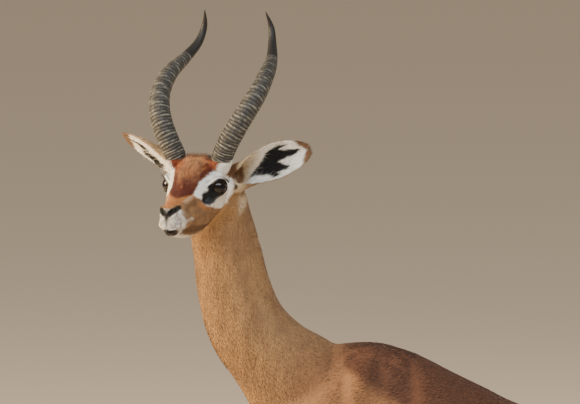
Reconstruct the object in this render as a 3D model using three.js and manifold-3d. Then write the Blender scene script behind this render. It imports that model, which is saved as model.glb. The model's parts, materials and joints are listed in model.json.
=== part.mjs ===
// A life-size adult male gerenuk, standing on level ground with its neck raised and its head turned
// to its left. Millimetres, +Z up. The animal faces -X, its left side is towards -Y, and its hooves
// stand on Z = 0.
import * as THREE from "three";
import { mergeVertices } from "three/addons/utils/BufferGeometryUtils.js";
import Module from "manifold-3d";

const wasm = await Module();
wasm.setup();

// Driving sizes
const GAP = 0.35; // air left between two parts that touch
const LEFT = -1; // side of the body, as the sign of Y
const RIGHT = 1;

// The head: where the point between the eyes is, and how far the head is turned and lowered
const HEAD_PLACE = new THREE.Vector3(-322, -105, 1253);
const HEAD_TURN = THREE.MathUtils.degToRad(77);
const HEAD_NOD = THREE.MathUtils.degToRad(-2);

const EYE_CENTRE = [8, 43.5, -4.5]; // back from, beside and above the point between the eyes
const EYE_RADIUS = 18;
const EYE_LOOKS = [-0.57, 0.82, 0.01]; // towards the front and the side
const LID_ACROSS = 15.5;
const LID_HIGH = 12.5;
const LID_THICKNESS = 3.2;

const HORN_BASE_RADIUS = 18.3;
const HORN_RINGS = 22;
const HORN_RINGED_SHARE = 0.74; // of its length, the rest is a smooth tip
const RING_HEIGHT = 2.4;

const EAR_THICKNESS = 2.6;

const HOOF_HEIGHT = 36;
const HOOF_SPREAD = 11.5; // of each of a foot's two hooves from the foot's middle

// Loft rows hold x, y and z of the spine, then the half width, the rise to the side that the section's
// upward direction points to, the depth to the other side, and how much each of these two is narrowed.

const TORSO = [
  [-225, 0, 800, 50, 62, 62, 0, 0],
  [-190, 0, 802, 66, 100, 92, 0.1, 0.1],
  [-130, 0, 796, 86, 152, 128, 0.22, 0.15],
  [-60, 0, 788, 100, 172, 148, 0.28, 0.18],
  [0, 0, 780, 107, 181, 154, 0.3, 0.18],
  [70, 0, 768, 113, 173, 152, 0.24, 0.12],
  [130, 0, 755, 118, 157, 145, 0.16, 0.08],
  [190, 0, 742, 119, 142, 136, 0.1, 0.05],
  [245, 0, 728, 117, 130, 124, 0.06, 0.04],
  [320, 0, 722, 110, 116, 115, 0.04, 0.04],
  [400, 0, 724, 98, 105, 107, 0.04, 0.06],
  [470, 0, 736, 92, 95, 92, 0.08, 0.1],
  [530, 0, 744, 84, 76, 74, 0.12, 0.1],
  [580, 0, 742, 62, 52, 50, 0.1, 0],
  [610, 0, 738, 34, 30, 30, 0, 0],
];

const NECK = [
  [-308, -46, 1282, 28, 30, 28],
  [-304, -34, 1256, 42, 48, 44],
  [-299, -18, 1222, 48, 56, 54],
  [-291, -8, 1180, 50, 58, 60],
  [-279, 0, 1123, 52, 62, 64],
  [-266, 0, 1051, 56, 68, 69],
  [-241, 0, 988, 63, 71, 76],
  [-200, 0, 937, 67, 77, 83],
  [-150, 0, 890, 71, 94, 104],
  [-95, 0, 835, 74, 108, 100],
];

const HEAD = [
  [-120, 0, -52, 12.5, 19, 20, -0.5, 0],
  [-113, 0, -51, 16.5, 25.5, 25, -0.4, 0.1],
  [-100, 0, -49, 20, 28.5, 31, -0.25, 0.1],
  [-80, 0, -46, 25, 31.5, 41, -0.2, 0.15],
  [-60, 0, -40, 31, 33.5, 51, -0.25, 0.2],
  [-40, 0, -30, 37, 39.5, 64, -0.15, 0.28],
  [-20, 0, -18, 43, 43.5, 76, -0.04, 0.36],
  [0, 0, -9, 47.5, 49, 84, -0.04, 0.42],
  [20, 0, -8, 49, 54, 82, -0.1, 0.43],
  [42, 0, -8, 48, 53, 74, -0.06, 0.38],
  [66, 0, -6, 43, 43, 57, 0, 0.28],
  [88, 0, -8, 34, 30, 38, 0, 0.1],
  [103, 0, -10, 20, 17, 20, 0, 0],
];

// One side of the body: y is the distance from the middle, and sizes are across, to the rear, to the front
const FORELEG = [
  [-8, 34, 946, 14, 34, 34],
  [-36, 57, 895, 22, 52, 50],
  [-60, 73, 845, 27, 66, 70],
  [-80, 79, 795, 29, 84, 91],
  [-88, 81, 750, 30, 80, 89],
  [-91, 82, 705, 29, 64, 66],
  [-87, 82, 660, 26, 43, 43],
  [-84, 82, 620, 23, 31, 31],
  [-88, 82, 560, 19.5, 25, 25],
  [-92, 82, 490, 16, 20, 19],
  [-94, 82, 425, 15, 16.5, 17],
  [-94, 82, 385, 18.5, 20, 19],
  [-95, 82, 352, 18, 19, 18],
  [-95, 82, 310, 12.5, 14.5, 13],
  [-95, 82, 240, 11, 12.5, 12],
  [-95, 82, 165, 12, 14, 13],
  [-97, 82, 118, 17, 20, 17],
  [-108, 82, 82, 14.5, 16.5, 15],
  [-119, 82, 52, 17, 19, 18],
  [-126, 82, 24, 18, 20, 20],
];
const HINDLEG = [
  [512, 46, 806, 24, 54, 56, 0, 0],
  [512, 57, 760, 36, 80, 82, 0, 0],
  [507, 65, 705, 39, 90, 90, 0.1, 0],
  [493, 71, 650, 36, 86, 86, 0.2, 0],
  [473, 75, 597, 31, 70, 70, 0.25, 0],
  [458, 78, 550, 27, 50, 50, 0.3, 0],
  [470, 80, 503, 24, 42, 38, 0.4, 0],
  [505, 80, 455, 21, 34, 28, 0.5, 0],
  [545, 80, 407, 17, 31, 22, 0.55, 0],
  [578, 80, 367, 15.5, 30, 19, 0.45, 0],
  [598, 80, 332, 16, 23, 18, 0.2, 0],
  [599, 80, 292, 13.5, 17, 15, 0, 0],
  [594, 80, 245, 11.5, 13.5, 13, 0, 0],
  [587, 80, 180, 11.5, 13.5, 12.5, 0, 0],
  [581, 80, 138, 13.5, 16, 13.5, 0, 0],
  [576, 80, 106, 17, 20, 17, 0, 0],
  [564, 80, 76, 14.5, 16, 14.5, 0, 0],
  [554, 80, 50, 17, 18.5, 18, 0, 0],
  [547, 80, 24, 18, 20, 20, 0, 0],
];
const TAIL = [
  [578, 0, 786, 17, 17, 17],
  [608, 0, 770, 13, 12, 13],
  [626, 0, 735, 10, 10, 10],
  [633, 0, 685, 8, 8, 8],
  [634, 0, 635, 6.5, 6.5, 6.5],
  [633, 0, 600, 5, 5, 5],
];

// How far each foot is set back from where the rows above put it
const STRIDE = {
  fore: { [LEFT]: 8, [RIGHT]: -34, top: 640 },
  hind: { [LEFT]: -22, [RIGHT]: 52, top: 640 },
};
const FORE_HOOF = [-129, 82];
const HIND_HOOF = [545, 80];

const HORN_LINE = [
  [28, 37.5, 24],
  [27, 46, 47],
  [27, 59.5, 75],
  [34, 73, 101],
  [49, 85, 127],
  [77, 94, 155],
  [118, 94, 183],
  [165, 85, 205],
  [198, 73, 230],
  [211, 66, 260],
  [200, 60, 290],
];
const HORN_TAPER = [1, 1.01, 1.02, 1, 0.96, 0.89, 0.8, 0.69, 0.57, 0.45, 0.32, 0.06];

// The ears differ: the left one is turned to the front, the right one outwards and down
const EARS = {
  ear_left: { side: LEFT, root: [60, -40, -6], tip: [106, -184, 57], opens: [-0.95, -0.28, 0.05] },
  ear_right: { side: RIGHT, root: [60, 40, -6], tip: [104, 184, 65], opens: [-0.62, 0.45, -0.64] },
};
const EAR_HALF_WIDTH = [23, 22.5, 21, 22, 26.5, 30, 31, 29.5, 26, 20, 6];
const EAR_ROLL_DEG = [155, 150, 134, 104, 80, 64, 55, 47, 40, 32, 20];
const EAR_ROOT_DEPTH = 0.55; // of its width, the ear is flatter at its root than a round tube
const EAR_BOW = { [LEFT]: 5, [RIGHT]: 2 }; // how far its middle is arched upwards

// Colours of the parts' materials
const COAT = { color: 0xb98550, roughness: 0.85, metalness: 0 };
const SADDLE = { color: 0x9a5c35, roughness: 0.85, metalness: 0 };
const EAR_HAIR = { color: 0xe6ddcd, roughness: 0.9, metalness: 0 };
const HORN = { color: 0x3a332d, roughness: 0.6, metalness: 0 };
const EYE = { color: 0x1a0f0a, roughness: 0.08, metalness: 0 };
const HOOF = { color: 0x1d1a18, roughness: 0.5, metalness: 0 };
const TAIL_HAIR = { color: 0x16120f, roughness: 0.9, metalness: 0 };

// Planes that divide the neck, the legs and the tail: a point on each, and the way from the body outwards
const NECK_BASE = [[-168, 0, 925], [-0.66, 0, 0.75]];
const NECK_MIDDLE = [[-272, 0, 1085], [-0.2, 0, 0.98]];
const KNEE = [[0, 0, 402], [0, 0, -1]];
const HOCK = [[566, 0, 384], [0.55, 0, -0.835]];
const CORONET = [[0, 0, HOOF_HEIGHT + GAP / 2], [0, 0, -1]];
const TUFT_TOP = [[0, 0, 628], [0, 0, -1]];

// Reads the columns of a table of rows as smooth curves of one parameter from 0 to 1
function smoothColumns(rows) {
  const columns = rows[0].length;
  const curves = [];
  for (let first = 0; first < columns; first += 3) {
    const points = rows.map((row) => new THREE.Vector3(
      row[first] ?? 0, row[first + 1] ?? 0, row[first + 2] ?? 0));
    curves.push(new THREE.CatmullRomCurve3(points, false, "catmullrom", 0.5));
  }
  return (t) => curves.flatMap((curve) => curve.getPoint(t).toArray()).slice(0, columns);
}

// Draws in the end of a loft over a share of its length, so that it is rounded
function endRounding(t, share) {
  if (share === 0 || t >= share) return 1;
  const left = 1 - t / share;
  return Math.sqrt(Math.max(0, 1 - left * left));
}

// A closed body drawn through oval sections. It starts as a sphere whose rings of latitude become the
// sections. The section's width lies along Y. Its upward direction is square to the spine, unless
// a fixed one is given.
function loft(rows, { around = 16, along = 16, caps = [0.12, 0.12], rise = null } = {}) {
  const at = smoothColumns(rows);
  const geometry = new THREE.SphereGeometry(1, around, along);
  const position = geometry.getAttribute("position");
  const skipped = caps.map((share) => (share === 0 ? 1 : 0));
  const across = new THREE.Vector3(0, 1, 0);
  const step = 1e-3;
  for (let i = 0; i < position.count; i++) {
    const ring = Math.floor(i / (around + 1));
    const turn = ((i % (around + 1)) / around) * 2 * Math.PI;
    const share = (ring - skipped[0]) / (along - skipped[0] - skipped[1]);
    const t = THREE.MathUtils.clamp(share, 0, 1);
    const pole = ring === 0 || ring === along;
    const [x, y, z, wide, up, down, narrowUp = 0, narrowDown = 0] = at(t);
    const before = new THREE.Vector3(...at(Math.max(0, t - step)));
    const after = new THREE.Vector3(...at(Math.min(1, t + step)));
    const upward = rise ?? new THREE.Vector3().crossVectors(after.sub(before), across).normalize();
    const size = pole ? 0 : endRounding(t, caps[0]) * endRounding(1 - t, caps[1]);
    const height = Math.sin(turn);
    const narrow = (height > 0 ? narrowUp : narrowDown) * height * height;
    const sideways = size * wide * Math.cos(turn) * (1 - narrow);
    const upwards = size * height * (height > 0 ? up : down);
    position.setXYZ(i, x + upward.x * upwards, y + sideways + upward.y * upwards, z + upward.z * upwards);
  }
  return geometry;
}

// A geometry as one closed surface: each corner once, and its triangles facing outwards
function welded(geometry) {
  const bare = geometry.clone();
  bare.deleteAttribute("normal");
  bare.deleteAttribute("uv");
  const surface = mergeVertices(bare, 1e-3);
  const place = surface.getAttribute("position");
  const corners = surface.index.array;
  const [a, b, c] = [new THREE.Vector3(), new THREE.Vector3(), new THREE.Vector3()];
  let volume = 0;
  for (let i = 0; i < corners.length; i += 3) {
    a.fromBufferAttribute(place, corners[i]);
    b.fromBufferAttribute(place, corners[i + 1]);
    c.fromBufferAttribute(place, corners[i + 2]);
    volume += a.dot(b.cross(c));
  }
  if (volume < 0) corners.reverse();
  return surface;
}

// Moves a geometry's surface outwards along its normals
function swollen(geometry, by) {
  const grown = welded(geometry);
  grown.computeVertexNormals();
  const place = grown.getAttribute("position");
  const normal = grown.getAttribute("normal");
  for (let i = 0; i < place.count; i++) {
    place.setXYZ(i, place.getX(i) + by * normal.getX(i), place.getY(i) + by * normal.getY(i),
      place.getZ(i) + by * normal.getZ(i));
  }
  return grown;
}

// A geometry as a solid that can be joined and cut
function solid(geometry) {
  const surface = welded(geometry);
  return new wasm.Manifold(new wasm.Mesh({
    numProp: 3,
    vertProperties: surface.getAttribute("position").array,
    triVerts: new Uint32Array(surface.index.array),
  }));
}

function joined(solids) {
  return solids.reduce((whole, piece) => whole.add(piece));
}

// The largest closed surface of a solid
function largest(made) {
  return made.decompose().sort((a, b) => b.volume() - a.volume())[0];
}

// Solids of the geometries as they are, and of the same geometries with room around them
function withRoom(geometries) {
  return {
    shape: joined(geometries.map(solid)),
    room: joined(geometries.map((g) => solid(swollen(g, GAP)))),
  };
}

function named(name, made, look) {
  const result = largest(made).getMesh();
  const places = new Float32Array(result.numVert * 3);
  for (let i = 0; i < result.numVert; i++) {
    places.set(result.vertProperties.subarray(i * result.numProp, i * result.numProp + 3), i * 3);
  }
  const geometry = new THREE.BufferGeometry();
  geometry.setAttribute("position", new THREE.BufferAttribute(places, 3));
  geometry.setIndex(new THREE.BufferAttribute(result.triVerts, 1));
  geometry.computeVertexNormals();
  const mesh = new THREE.Mesh(geometry, new THREE.MeshStandardMaterial(look));
  mesh.name = name;
  return mesh;
}

// The rows of one side of the body, with the foot end moved by the stride
function onSide(rows, side, stride) {
  return rows.map(([x, y, z, ...sizes]) => {
    const low = stride ? Math.max(0, 1 - z / stride.top) : 0;
    return [x + low * (stride ? stride[side] : 0), side * y, z, ...sizes];
  });
}

// Cuts a solid by a plane, with a gap, into the piece nearer the body and the piece beyond
function divided(made, [point, outwards], shift = 0) {
  const direction = new THREE.Vector3(...outwards).normalize();
  const offset = direction.dot(new THREE.Vector3(...point)) + direction.x * shift;
  const beyond = made.trimByPlane(direction.toArray(), offset + GAP / 2);
  const near = made.trimByPlane(direction.negate().toArray(), GAP / 2 - offset);
  return [near, beyond];
}

// The trunk, from the breast to the buttocks
function torsoGeometry() {
  return loft(TORSO, { around: 22, along: 24, caps: [0.09, 0.08], rise: new THREE.Vector3(0, 0, 1) });
}

function neckGeometry() {
  return loft(NECK, { around: 20, along: 16, caps: [0.1, 0] });
}

// A leg, from the muscles that lie on the trunk down to the coronet
function legGeometry(side, fore) {
  if (fore) {
    const rows = onSide(FORELEG, side, STRIDE.fore);
    return loft(rows, { around: 12, along: 26, caps: [0.06, 0], rise: new THREE.Vector3(1, 0, 0) });
  }
  return loft(onSide(HINDLEG, side, STRIDE.hind), { around: 12, along: 26, caps: [0.06, 0] });
}

// The two small claws behind each fetlock
function dewclaws(side, fore) {
  const [x, y] = fore ? [-78, 82] : [596, 80];
  const stride = fore ? STRIDE.fore : STRIDE.hind;
  const height = 98;
  const spread = 9;
  return [-spread, spread].map((out) => {
    const claw = new THREE.SphereGeometry(1, 7, 5);
    claw.scale(8, 6, 11);
    claw.translate(x + (1 - height / stride.top) * stride[side], side * (y + out), height);
    return claw;
  });
}

// One of the two hooves of a foot: a wall that narrows upwards, longest at the sole
function hoofGeometry(x, y) {
  const rows = [
    [x + 9, y, HOOF_HEIGHT, 8.2, 17, 17, 0, 0.25],
    [x + 5, y, HOOF_HEIGHT * 0.6, 9.2, 21, 24, 0.05, 0.3],
    [x, y, 0, 9.8, 25, 33, 0.05, 0.4],
  ];
  return loft(rows, { around: 12, along: 4, caps: [0, 0], rise: new THREE.Vector3(1, 0, 0) });
}

// A ring of eyelid round the eye's opening
function lidGeometry(side) {
  const lid = new THREE.TorusGeometry(1, LID_THICKNESS / LID_HIGH, 5, 16);
  lid.scale(LID_ACROSS, LID_HIGH, LID_HIGH);
  const looks = new THREE.Vector3(EYE_LOOKS[0], side * EYE_LOOKS[1], EYE_LOOKS[2]).normalize();
  const turned = new THREE.Matrix4().lookAt(looks, new THREE.Vector3(), new THREE.Vector3(0, 0, 1));
  lid.applyMatrix4(turned);
  const outwards = Math.sqrt(EYE_RADIUS ** 2 - LID_ACROSS ** 2) + 1.5;
  const [x, y, z] = EYE_CENTRE;
  lid.translate(x + looks.x * outwards, side * y + looks.y * outwards, z + looks.z * outwards);
  return lid;
}

function eyeGeometry(side, radius) {
  const [x, y, z] = EYE_CENTRE;
  return new THREE.SphereGeometry(radius, 16, 9).translate(x, side * y, z);
}

// The bony base under each horn, covered with skin
function pedicelGeometry(side) {
  const rows = [
    [32, side * 30, 4, 18, 20, 18],
    [29, side * 36, 20, 21, 22, 21],
    [28, side * 40.5, 32, 21.5, 22.5, 21.5],
    [27.5, side * 44, 41, 21, 22, 21],
    [27.5, side * 46.5, 47, 19.5, 20.5, 19.5],
  ];
  return loft(rows, { around: 12, along: 5, caps: [0.3, 0] });
}

// The fleshy root of an ear on the side of the skull
function earRootGeometry({ side, root }) {
  const bulb = new THREE.SphereGeometry(1, 12, 8);
  bulb.scale(17, 24, 27);
  bulb.rotateX(side * 0.3);
  return bulb.translate(root[0] + 8, side * 34, root[2] - 3);
}

// The round forehead between the horns
function foreheadGeometry() {
  const swell = new THREE.SphereGeometry(1, 14, 8);
  swell.scale(20, 34, 17);
  return swell.translate(24, 0, 33);
}

// The chin under the mouth
function chinGeometry() {
  const swell = new THREE.SphereGeometry(1, 12, 7);
  swell.scale(13, 11, 8);
  return swell.translate(-98, 0, -73);
}

// The slit of a nostril, cut into the muzzle
function nostrilGeometry(side) {
  const slit = new THREE.SphereGeometry(1, 8, 6);
  slit.scale(6, 10, 3.6);
  const along = new THREE.Vector3(6, side * 15, 9).normalize();
  slit.applyQuaternion(new THREE.Quaternion().setFromUnitVectors(new THREE.Vector3(0, 1, 0), along));
  return slit.translate(-112, side * 13.5, -32);
}

// The bulge of the eye's socket
function orbitGeometry(side) {
  const orbit = new THREE.SphereGeometry(1, 12, 8);
  orbit.scale(35, 16, 26);
  orbit.rotateZ(side * -0.16);
  return orbit.translate(EYE_CENTRE[0] + 5, side * (EYE_CENTRE[1] - 7), EYE_CENTRE[2] - 1);
}

// The ridge of the upper lid and brow, which shades the eye
function browGeometry(side) {
  const rows = [
    [-18, side * 40.5, 4, 5, 5, 5],
    [-6, side * 49, 9.5, 6, 6, 6],
    [12, side * 51.5, 10.5, 6, 6, 6],
    [28, side * 47, 4, 5, 5, 5],
  ];
  return loft(rows, { around: 7, along: 6, caps: [0.35, 0.35] });
}

// The groove where the lips meet: a thin slab, less the inside of the muzzle
function mouthGroove(muzzle) {
  const slab = new THREE.BoxGeometry(58, 80, 1.8);
  slab.rotateY(THREE.MathUtils.degToRad(-4));
  slab.translate(-97, 0, -71.5);
  const depth = 3;
  return solid(slab).subtract(solid(swollen(muzzle, -depth)));
}

// The whole head in its own frame, with room for the eyes cut out, and the room that it takes itself
function makeHead() {
  const skull = loft(HEAD, { around: 20, along: 20, caps: [0.05, 0.12], rise: new THREE.Vector3(0, 0, 1) });
  const pieces = [skull, foreheadGeometry(), chinGeometry()];
  for (const side of [LEFT, RIGHT]) {
    pieces.push(pedicelGeometry(side), orbitGeometry(side), lidGeometry(side), browGeometry(side));
  }
  for (const ear of Object.values(EARS)) pieces.push(earRootGeometry(ear));
  const { shape, room } = withRoom(pieces);
  let head = shape.subtract(mouthGroove(skull));
  for (const side of [LEFT, RIGHT]) {
    head = head.subtract(solid(eyeGeometry(side, EYE_RADIUS + GAP)));
    head = head.subtract(solid(nostrilGeometry(side)));
  }
  return { head, room };
}

// A horn: a tube along its line. Its rows lie in turn in a groove and on a ring's lip, and at even
// steps on the smooth tip.
function hornGeometry(side) {
  const line = new THREE.CatmullRomCurve3(HORN_LINE.map(([x, y, z]) => new THREE.Vector3(x, side * y, z)));
  const around = 12;
  const ringed = 2 * HORN_RINGS;
  const smooth = 9;
  const horn = new THREE.CylinderGeometry(1, 1, 1, around, ringed + smooth);
  const position = horn.getAttribute("position");
  const sideways = new THREE.Vector3();
  const forwards = new THREE.Vector3();
  for (let i = 0; i < position.count; i++) {
    const row = Math.round((position.getY(i) + 0.5) * (ringed + smooth));
    const upTip = Math.max(0, row - ringed) / smooth;
    const t = HORN_RINGED_SHARE * Math.min(1, row / ringed) + (1 - HORN_RINGED_SHARE) * upTip;
    const place = line.getPointAt(t);
    const tangent = line.getTangentAt(t);
    sideways.crossVectors(new THREE.Vector3(1, 0, 0), tangent).normalize();
    forwards.crossVectors(tangent, sideways);
    const lip = row < ringed && row % 2 === 1 ? RING_HEIGHT * (1 - 0.5 * t) : 0;
    const radius = HORN_BASE_RADIUS * valueAt(HORN_TAPER, t) + lip;
    place.addScaledVector(sideways, radius * 0.94 * position.getX(i));
    place.addScaledVector(forwards, radius * 1.05 * position.getZ(i));
    position.setXYZ(i, place.x, place.y, place.z);
  }
  return horn;
}

// Reads a list of values at even steps
function valueAt(values, t) {
  const spot = THREE.MathUtils.clamp(t, 0, 1) * (values.length - 1);
  const step = Math.min(Math.floor(spot), values.length - 2);
  return THREE.MathUtils.lerp(values[step], values[step + 1], spot - step);
}

// An ear: a leaf of skin, rolled into a funnel at its root and open towards its tip. It starts as
// a flat box whose two large faces become the inside and the back of the ear.
function earGeometry({ side, root, tip, opens }) {
  const ear = new THREE.BoxGeometry(1, 1, 1, 8, 12, 1);
  const position = ear.getAttribute("position");
  const start = new THREE.Vector3(...root);
  const axis = new THREE.Vector3(...tip).sub(start);
  const forwards = axis.clone().normalize();
  const outwards = new THREE.Vector3(...opens);
  outwards.addScaledVector(forwards, -outwards.dot(forwards)).normalize();
  const across = new THREE.Vector3().crossVectors(forwards, outwards);
  for (let i = 0; i < position.count; i++) {
    const t = position.getY(i) + 0.5;
    const roll = THREE.MathUtils.degToRad(valueAt(EAR_ROLL_DEG, t));
    const bend = valueAt(EAR_HALF_WIDTH, t) / Math.sin(Math.min(roll, Math.PI / 2));
    const turn = 2 * position.getX(i) * roll;
    const radius = bend + position.getZ(i) * EAR_THICKNESS;
    const depth = THREE.MathUtils.lerp(EAR_ROOT_DEPTH, 1, Math.min(1, 2 * t));
    const place = start.clone().addScaledVector(axis, t);
    place.z += EAR_BOW[side] * Math.sin(Math.PI * t);
    place.addScaledVector(across, radius * Math.sin(turn));
    place.addScaledVector(outwards, depth * (bend * Math.cos(roll) - radius * Math.cos(turn)));
    position.setXYZ(i, place.x, place.y, place.z);
  }
  return ear;
}

// The black brush at the end of the tail: flat locks that hang, bend and taper round the tail's tip
function tailBrush() {
  const top = [634, 0, 640];
  const locks = 12;
  const golden = 2.39996;
  const pieces = [solid(loft([
    [...top, 7.5, 7.5, 7.5],
    [633, 0, 600, 9, 9, 9],
    [632, 0, 560, 5, 5, 5],
  ], { around: 10, along: 6, caps: [0, 0.3] }))];
  for (let i = 0; i < locks; i++) {
    const angle = i * golden;
    const [outX, outY] = [Math.cos(angle), Math.sin(angle)];
    const start = top[2] - 6 - 3.2 * i;
    const length = 96 + 22 * Math.sin(1.7 * i);
    const rows = [0, 0.3, 0.65, 1].map((t) => {
      const out = 5 + 9 * Math.sin(Math.PI * Math.min(1, 0.15 + 0.75 * t));
      const half = 5.5 * (1 - 0.8 * t * t);
      return [top[0] - 2 * t + outX * out, outY * out, start - length * t, half, 0.45 * half, 0.45 * half];
    });
    pieces.push(solid(loft(rows, { around: 5, along: 5, caps: [0.15, 0.2] })));
  }
  return joined(pieces);
}

// Puts the parts together
const headFrame = new THREE.Group();
headFrame.position.copy(HEAD_PLACE);
headFrame.rotation.set(0, HEAD_NOD, HEAD_TURN, "ZYX");
headFrame.updateMatrix();

const { head, room: headRoom } = makeHead();
let headSpace = headRoom;
headFrame.add(named("head", head, COAT));
for (const [name, ear] of Object.entries(EARS)) {
  const leaf = earGeometry(ear);
  headFrame.add(named(name, solid(leaf).subtract(headRoom), EAR_HAIR));
  headSpace = headSpace.add(solid(swollen(leaf, GAP)));
}
for (const [name, side] of [["left", LEFT], ["right", RIGHT]]) {
  headFrame.add(named(`horn_${name}`, solid(hornGeometry(side)).subtract(headRoom), HORN));
  headFrame.add(named(`eye_${name}`, solid(eyeGeometry(side, EYE_RADIUS)), EYE));
}

const body = new THREE.Group();
let legRoom = wasm.Manifold.union([]);
for (const [end, fore] of [["foreleg", true], ["hindleg", false]]) {
  const stride = fore ? STRIDE.fore : STRIDE.hind;
  const [hoofX, hoofY] = fore ? FORE_HOOF : HIND_HOOF;
  const joint = fore ? KNEE : HOCK;
  for (const [name, side] of [["left", LEFT], ["right", RIGHT]]) {
    const leg = legGeometry(side, fore);
    legRoom = legRoom.add(solid(swollen(leg, GAP)));
    const whole = joined([leg, ...dewclaws(side, fore)].map(solid));
    const jointShift = (1 - joint[0][2] / stride.top) * stride[side];
    const [upper, shank] = divided(whole, joint, jointShift);
    const [lower] = divided(shank, CORONET);
    body.add(named(`${end}_${name}_upper`, upper, COAT));
    body.add(named(`${end}_${name}_lower`, lower, COAT));
    for (const [place, out] of [["inner", -1], ["outer", 1]]) {
      const y = side * (hoofY + out * HOOF_SPREAD);
      body.add(named(`hoof_${end}_${name}_${place}`, solid(hoofGeometry(hoofX + stride[side], y)), HOOF));
    }
  }
}

const trunk = solid(torsoGeometry()).add(solid(neckGeometry()));
const [torso, wholeNeck] = divided(trunk, NECK_BASE);
const neck = wholeNeck.subtract(headSpace.transform(headFrame.matrix.toArray()));
const [lowerNeck, upperNeck] = divided(neck, NECK_MIDDLE);
body.add(named("torso", torso.subtract(legRoom), SADDLE));
body.add(named("neck_lower", lowerNeck, COAT));
body.add(named("neck_upper", upperNeck, COAT));

const torsoRoom = solid(swollen(torsoGeometry(), GAP));
const tail = solid(loft(TAIL, { around: 12, along: 14, caps: [0, 0.1] })).subtract(torsoRoom);
body.add(named("tail", divided(tail, TUFT_TOP)[0], COAT));
body.add(named("tail_tuft", divided(tailBrush(), TUFT_TOP)[1], TAIL_HAIR));

// The whole stands with the middle of its box above the origin
const gerenuk = new THREE.Group();
gerenuk.add(body, headFrame);
const middle = new THREE.Box3().setFromObject(gerenuk, true).getCenter(new THREE.Vector3());
gerenuk.position.set(-middle.x, -middle.y, 0);

export default gerenuk;
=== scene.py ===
# %% [markdown]
# # A standing gerenuk
# A gerenuk is a slim East African antelope with a very long neck. This notebook dresses the plain
# solids of a life-size model: one skin grows over all the flesh, and coat, eyes, horns, hooves and
# tail brush follow as pieces of their own. All sizes are in millimetres until the last step of each
# piece, which turns them into metres and puts the piece in its place.

import json
import math

import bmesh
import bpy
import numpy as np
from mathutils import Matrix, Vector

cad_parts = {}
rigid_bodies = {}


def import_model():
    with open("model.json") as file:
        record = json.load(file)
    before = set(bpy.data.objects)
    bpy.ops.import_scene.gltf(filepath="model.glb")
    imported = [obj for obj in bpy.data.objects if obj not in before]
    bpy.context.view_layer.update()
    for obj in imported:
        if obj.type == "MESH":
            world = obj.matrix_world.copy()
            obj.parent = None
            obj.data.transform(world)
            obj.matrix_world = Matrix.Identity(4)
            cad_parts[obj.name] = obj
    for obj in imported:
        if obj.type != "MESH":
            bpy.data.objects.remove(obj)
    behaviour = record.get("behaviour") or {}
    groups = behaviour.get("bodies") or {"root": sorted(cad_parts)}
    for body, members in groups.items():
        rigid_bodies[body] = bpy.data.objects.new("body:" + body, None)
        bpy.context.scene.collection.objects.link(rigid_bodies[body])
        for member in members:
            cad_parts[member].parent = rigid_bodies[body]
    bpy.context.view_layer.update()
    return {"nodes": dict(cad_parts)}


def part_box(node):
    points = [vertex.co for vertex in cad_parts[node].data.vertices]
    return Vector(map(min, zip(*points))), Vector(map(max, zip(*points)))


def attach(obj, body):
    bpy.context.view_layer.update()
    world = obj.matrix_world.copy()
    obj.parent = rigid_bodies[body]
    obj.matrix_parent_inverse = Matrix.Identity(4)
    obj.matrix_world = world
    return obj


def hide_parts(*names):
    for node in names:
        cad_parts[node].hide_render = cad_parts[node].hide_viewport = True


for leftover in list(bpy.data.objects):
    bpy.data.objects.remove(leftover)
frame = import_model()
scene = bpy.context.scene
print("solids to dress:", len(frame["nodes"]))

# %% [markdown]
# ## Where the animal stands
# The head has a frame of its own: it starts between the eyes, x runs backwards, y to the animal's
# right and z up. One matrix turns and lowers it to where the head is carried. The whole animal is
# then moved to where the solids stand. One eye tells how far, because its centre is known in both.

# %% Places and units
MM = 0.001
LEFT, RIGHT = -1, 1
HEAD_PLACE = Vector((-322, -105, 1253))
HEAD_TURN = math.radians(77)
HEAD_NOD = math.radians(-2)
HEAD = Matrix.Translation(HEAD_PLACE) @ Matrix.Rotation(HEAD_TURN, 4, "Z") @ Matrix.Rotation(HEAD_NOD, 4, "Y")
HEAD_BACK = np.array(HEAD.inverted())
EYE = Vector((8, 43.5, -4.5))
EYE_RADIUS = 18


def on_side(v, side):
    return Vector((v[0], side * v[1], v[2]))


low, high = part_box("eye_left")
eye_seen = (Vector(low) + Vector(high)) / 2
STANDING = eye_seen - HEAD @ on_side(EYE, LEFT) * MM
STANDING.z = 0
TO_FRAME = Matrix.Translation(STANDING) @ Matrix.Scale(MM, 4)
print("the animal stands at", [round(v, 4) for v in STANDING])

# %% [markdown]
# ## The body's rows
# Each row is one slice of the body: the place of its centre, its half width, how far it reaches to
# the upper side and to the lower side, and how much these two are drawn in. The rows of a limb are
# written for one side and used for both.

# %% Rows of the trunk and neck
TORSO = [
    (-225, 0, 800, 50, 62, 62, 0, 0), (-190, 0, 802, 66, 100, 92, 0.1, 0.1),
    (-130, 0, 796, 86, 152, 128, 0.22, 0.15), (-60, 0, 788, 100, 172, 148, 0.28, 0.18),
    (0, 0, 780, 107, 181, 154, 0.3, 0.18), (70, 0, 768, 113, 173, 152, 0.24, 0.12),
    (130, 0, 755, 118, 157, 145, 0.16, 0.08), (190, 0, 742, 119, 142, 136, 0.1, 0.05),
    (245, 0, 728, 117, 130, 124, 0.06, 0.04), (320, 0, 722, 110, 116, 115, 0.04, 0.04),
    (400, 0, 724, 98, 105, 107, 0.04, 0.06), (470, 0, 736, 92, 95, 92, 0.08, 0.1),
    (530, 0, 744, 84, 76, 74, 0.12, 0.1), (580, 0, 742, 62, 52, 50, 0.1, 0),
    (610, 0, 738, 34, 30, 30, 0, 0),
]
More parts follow.
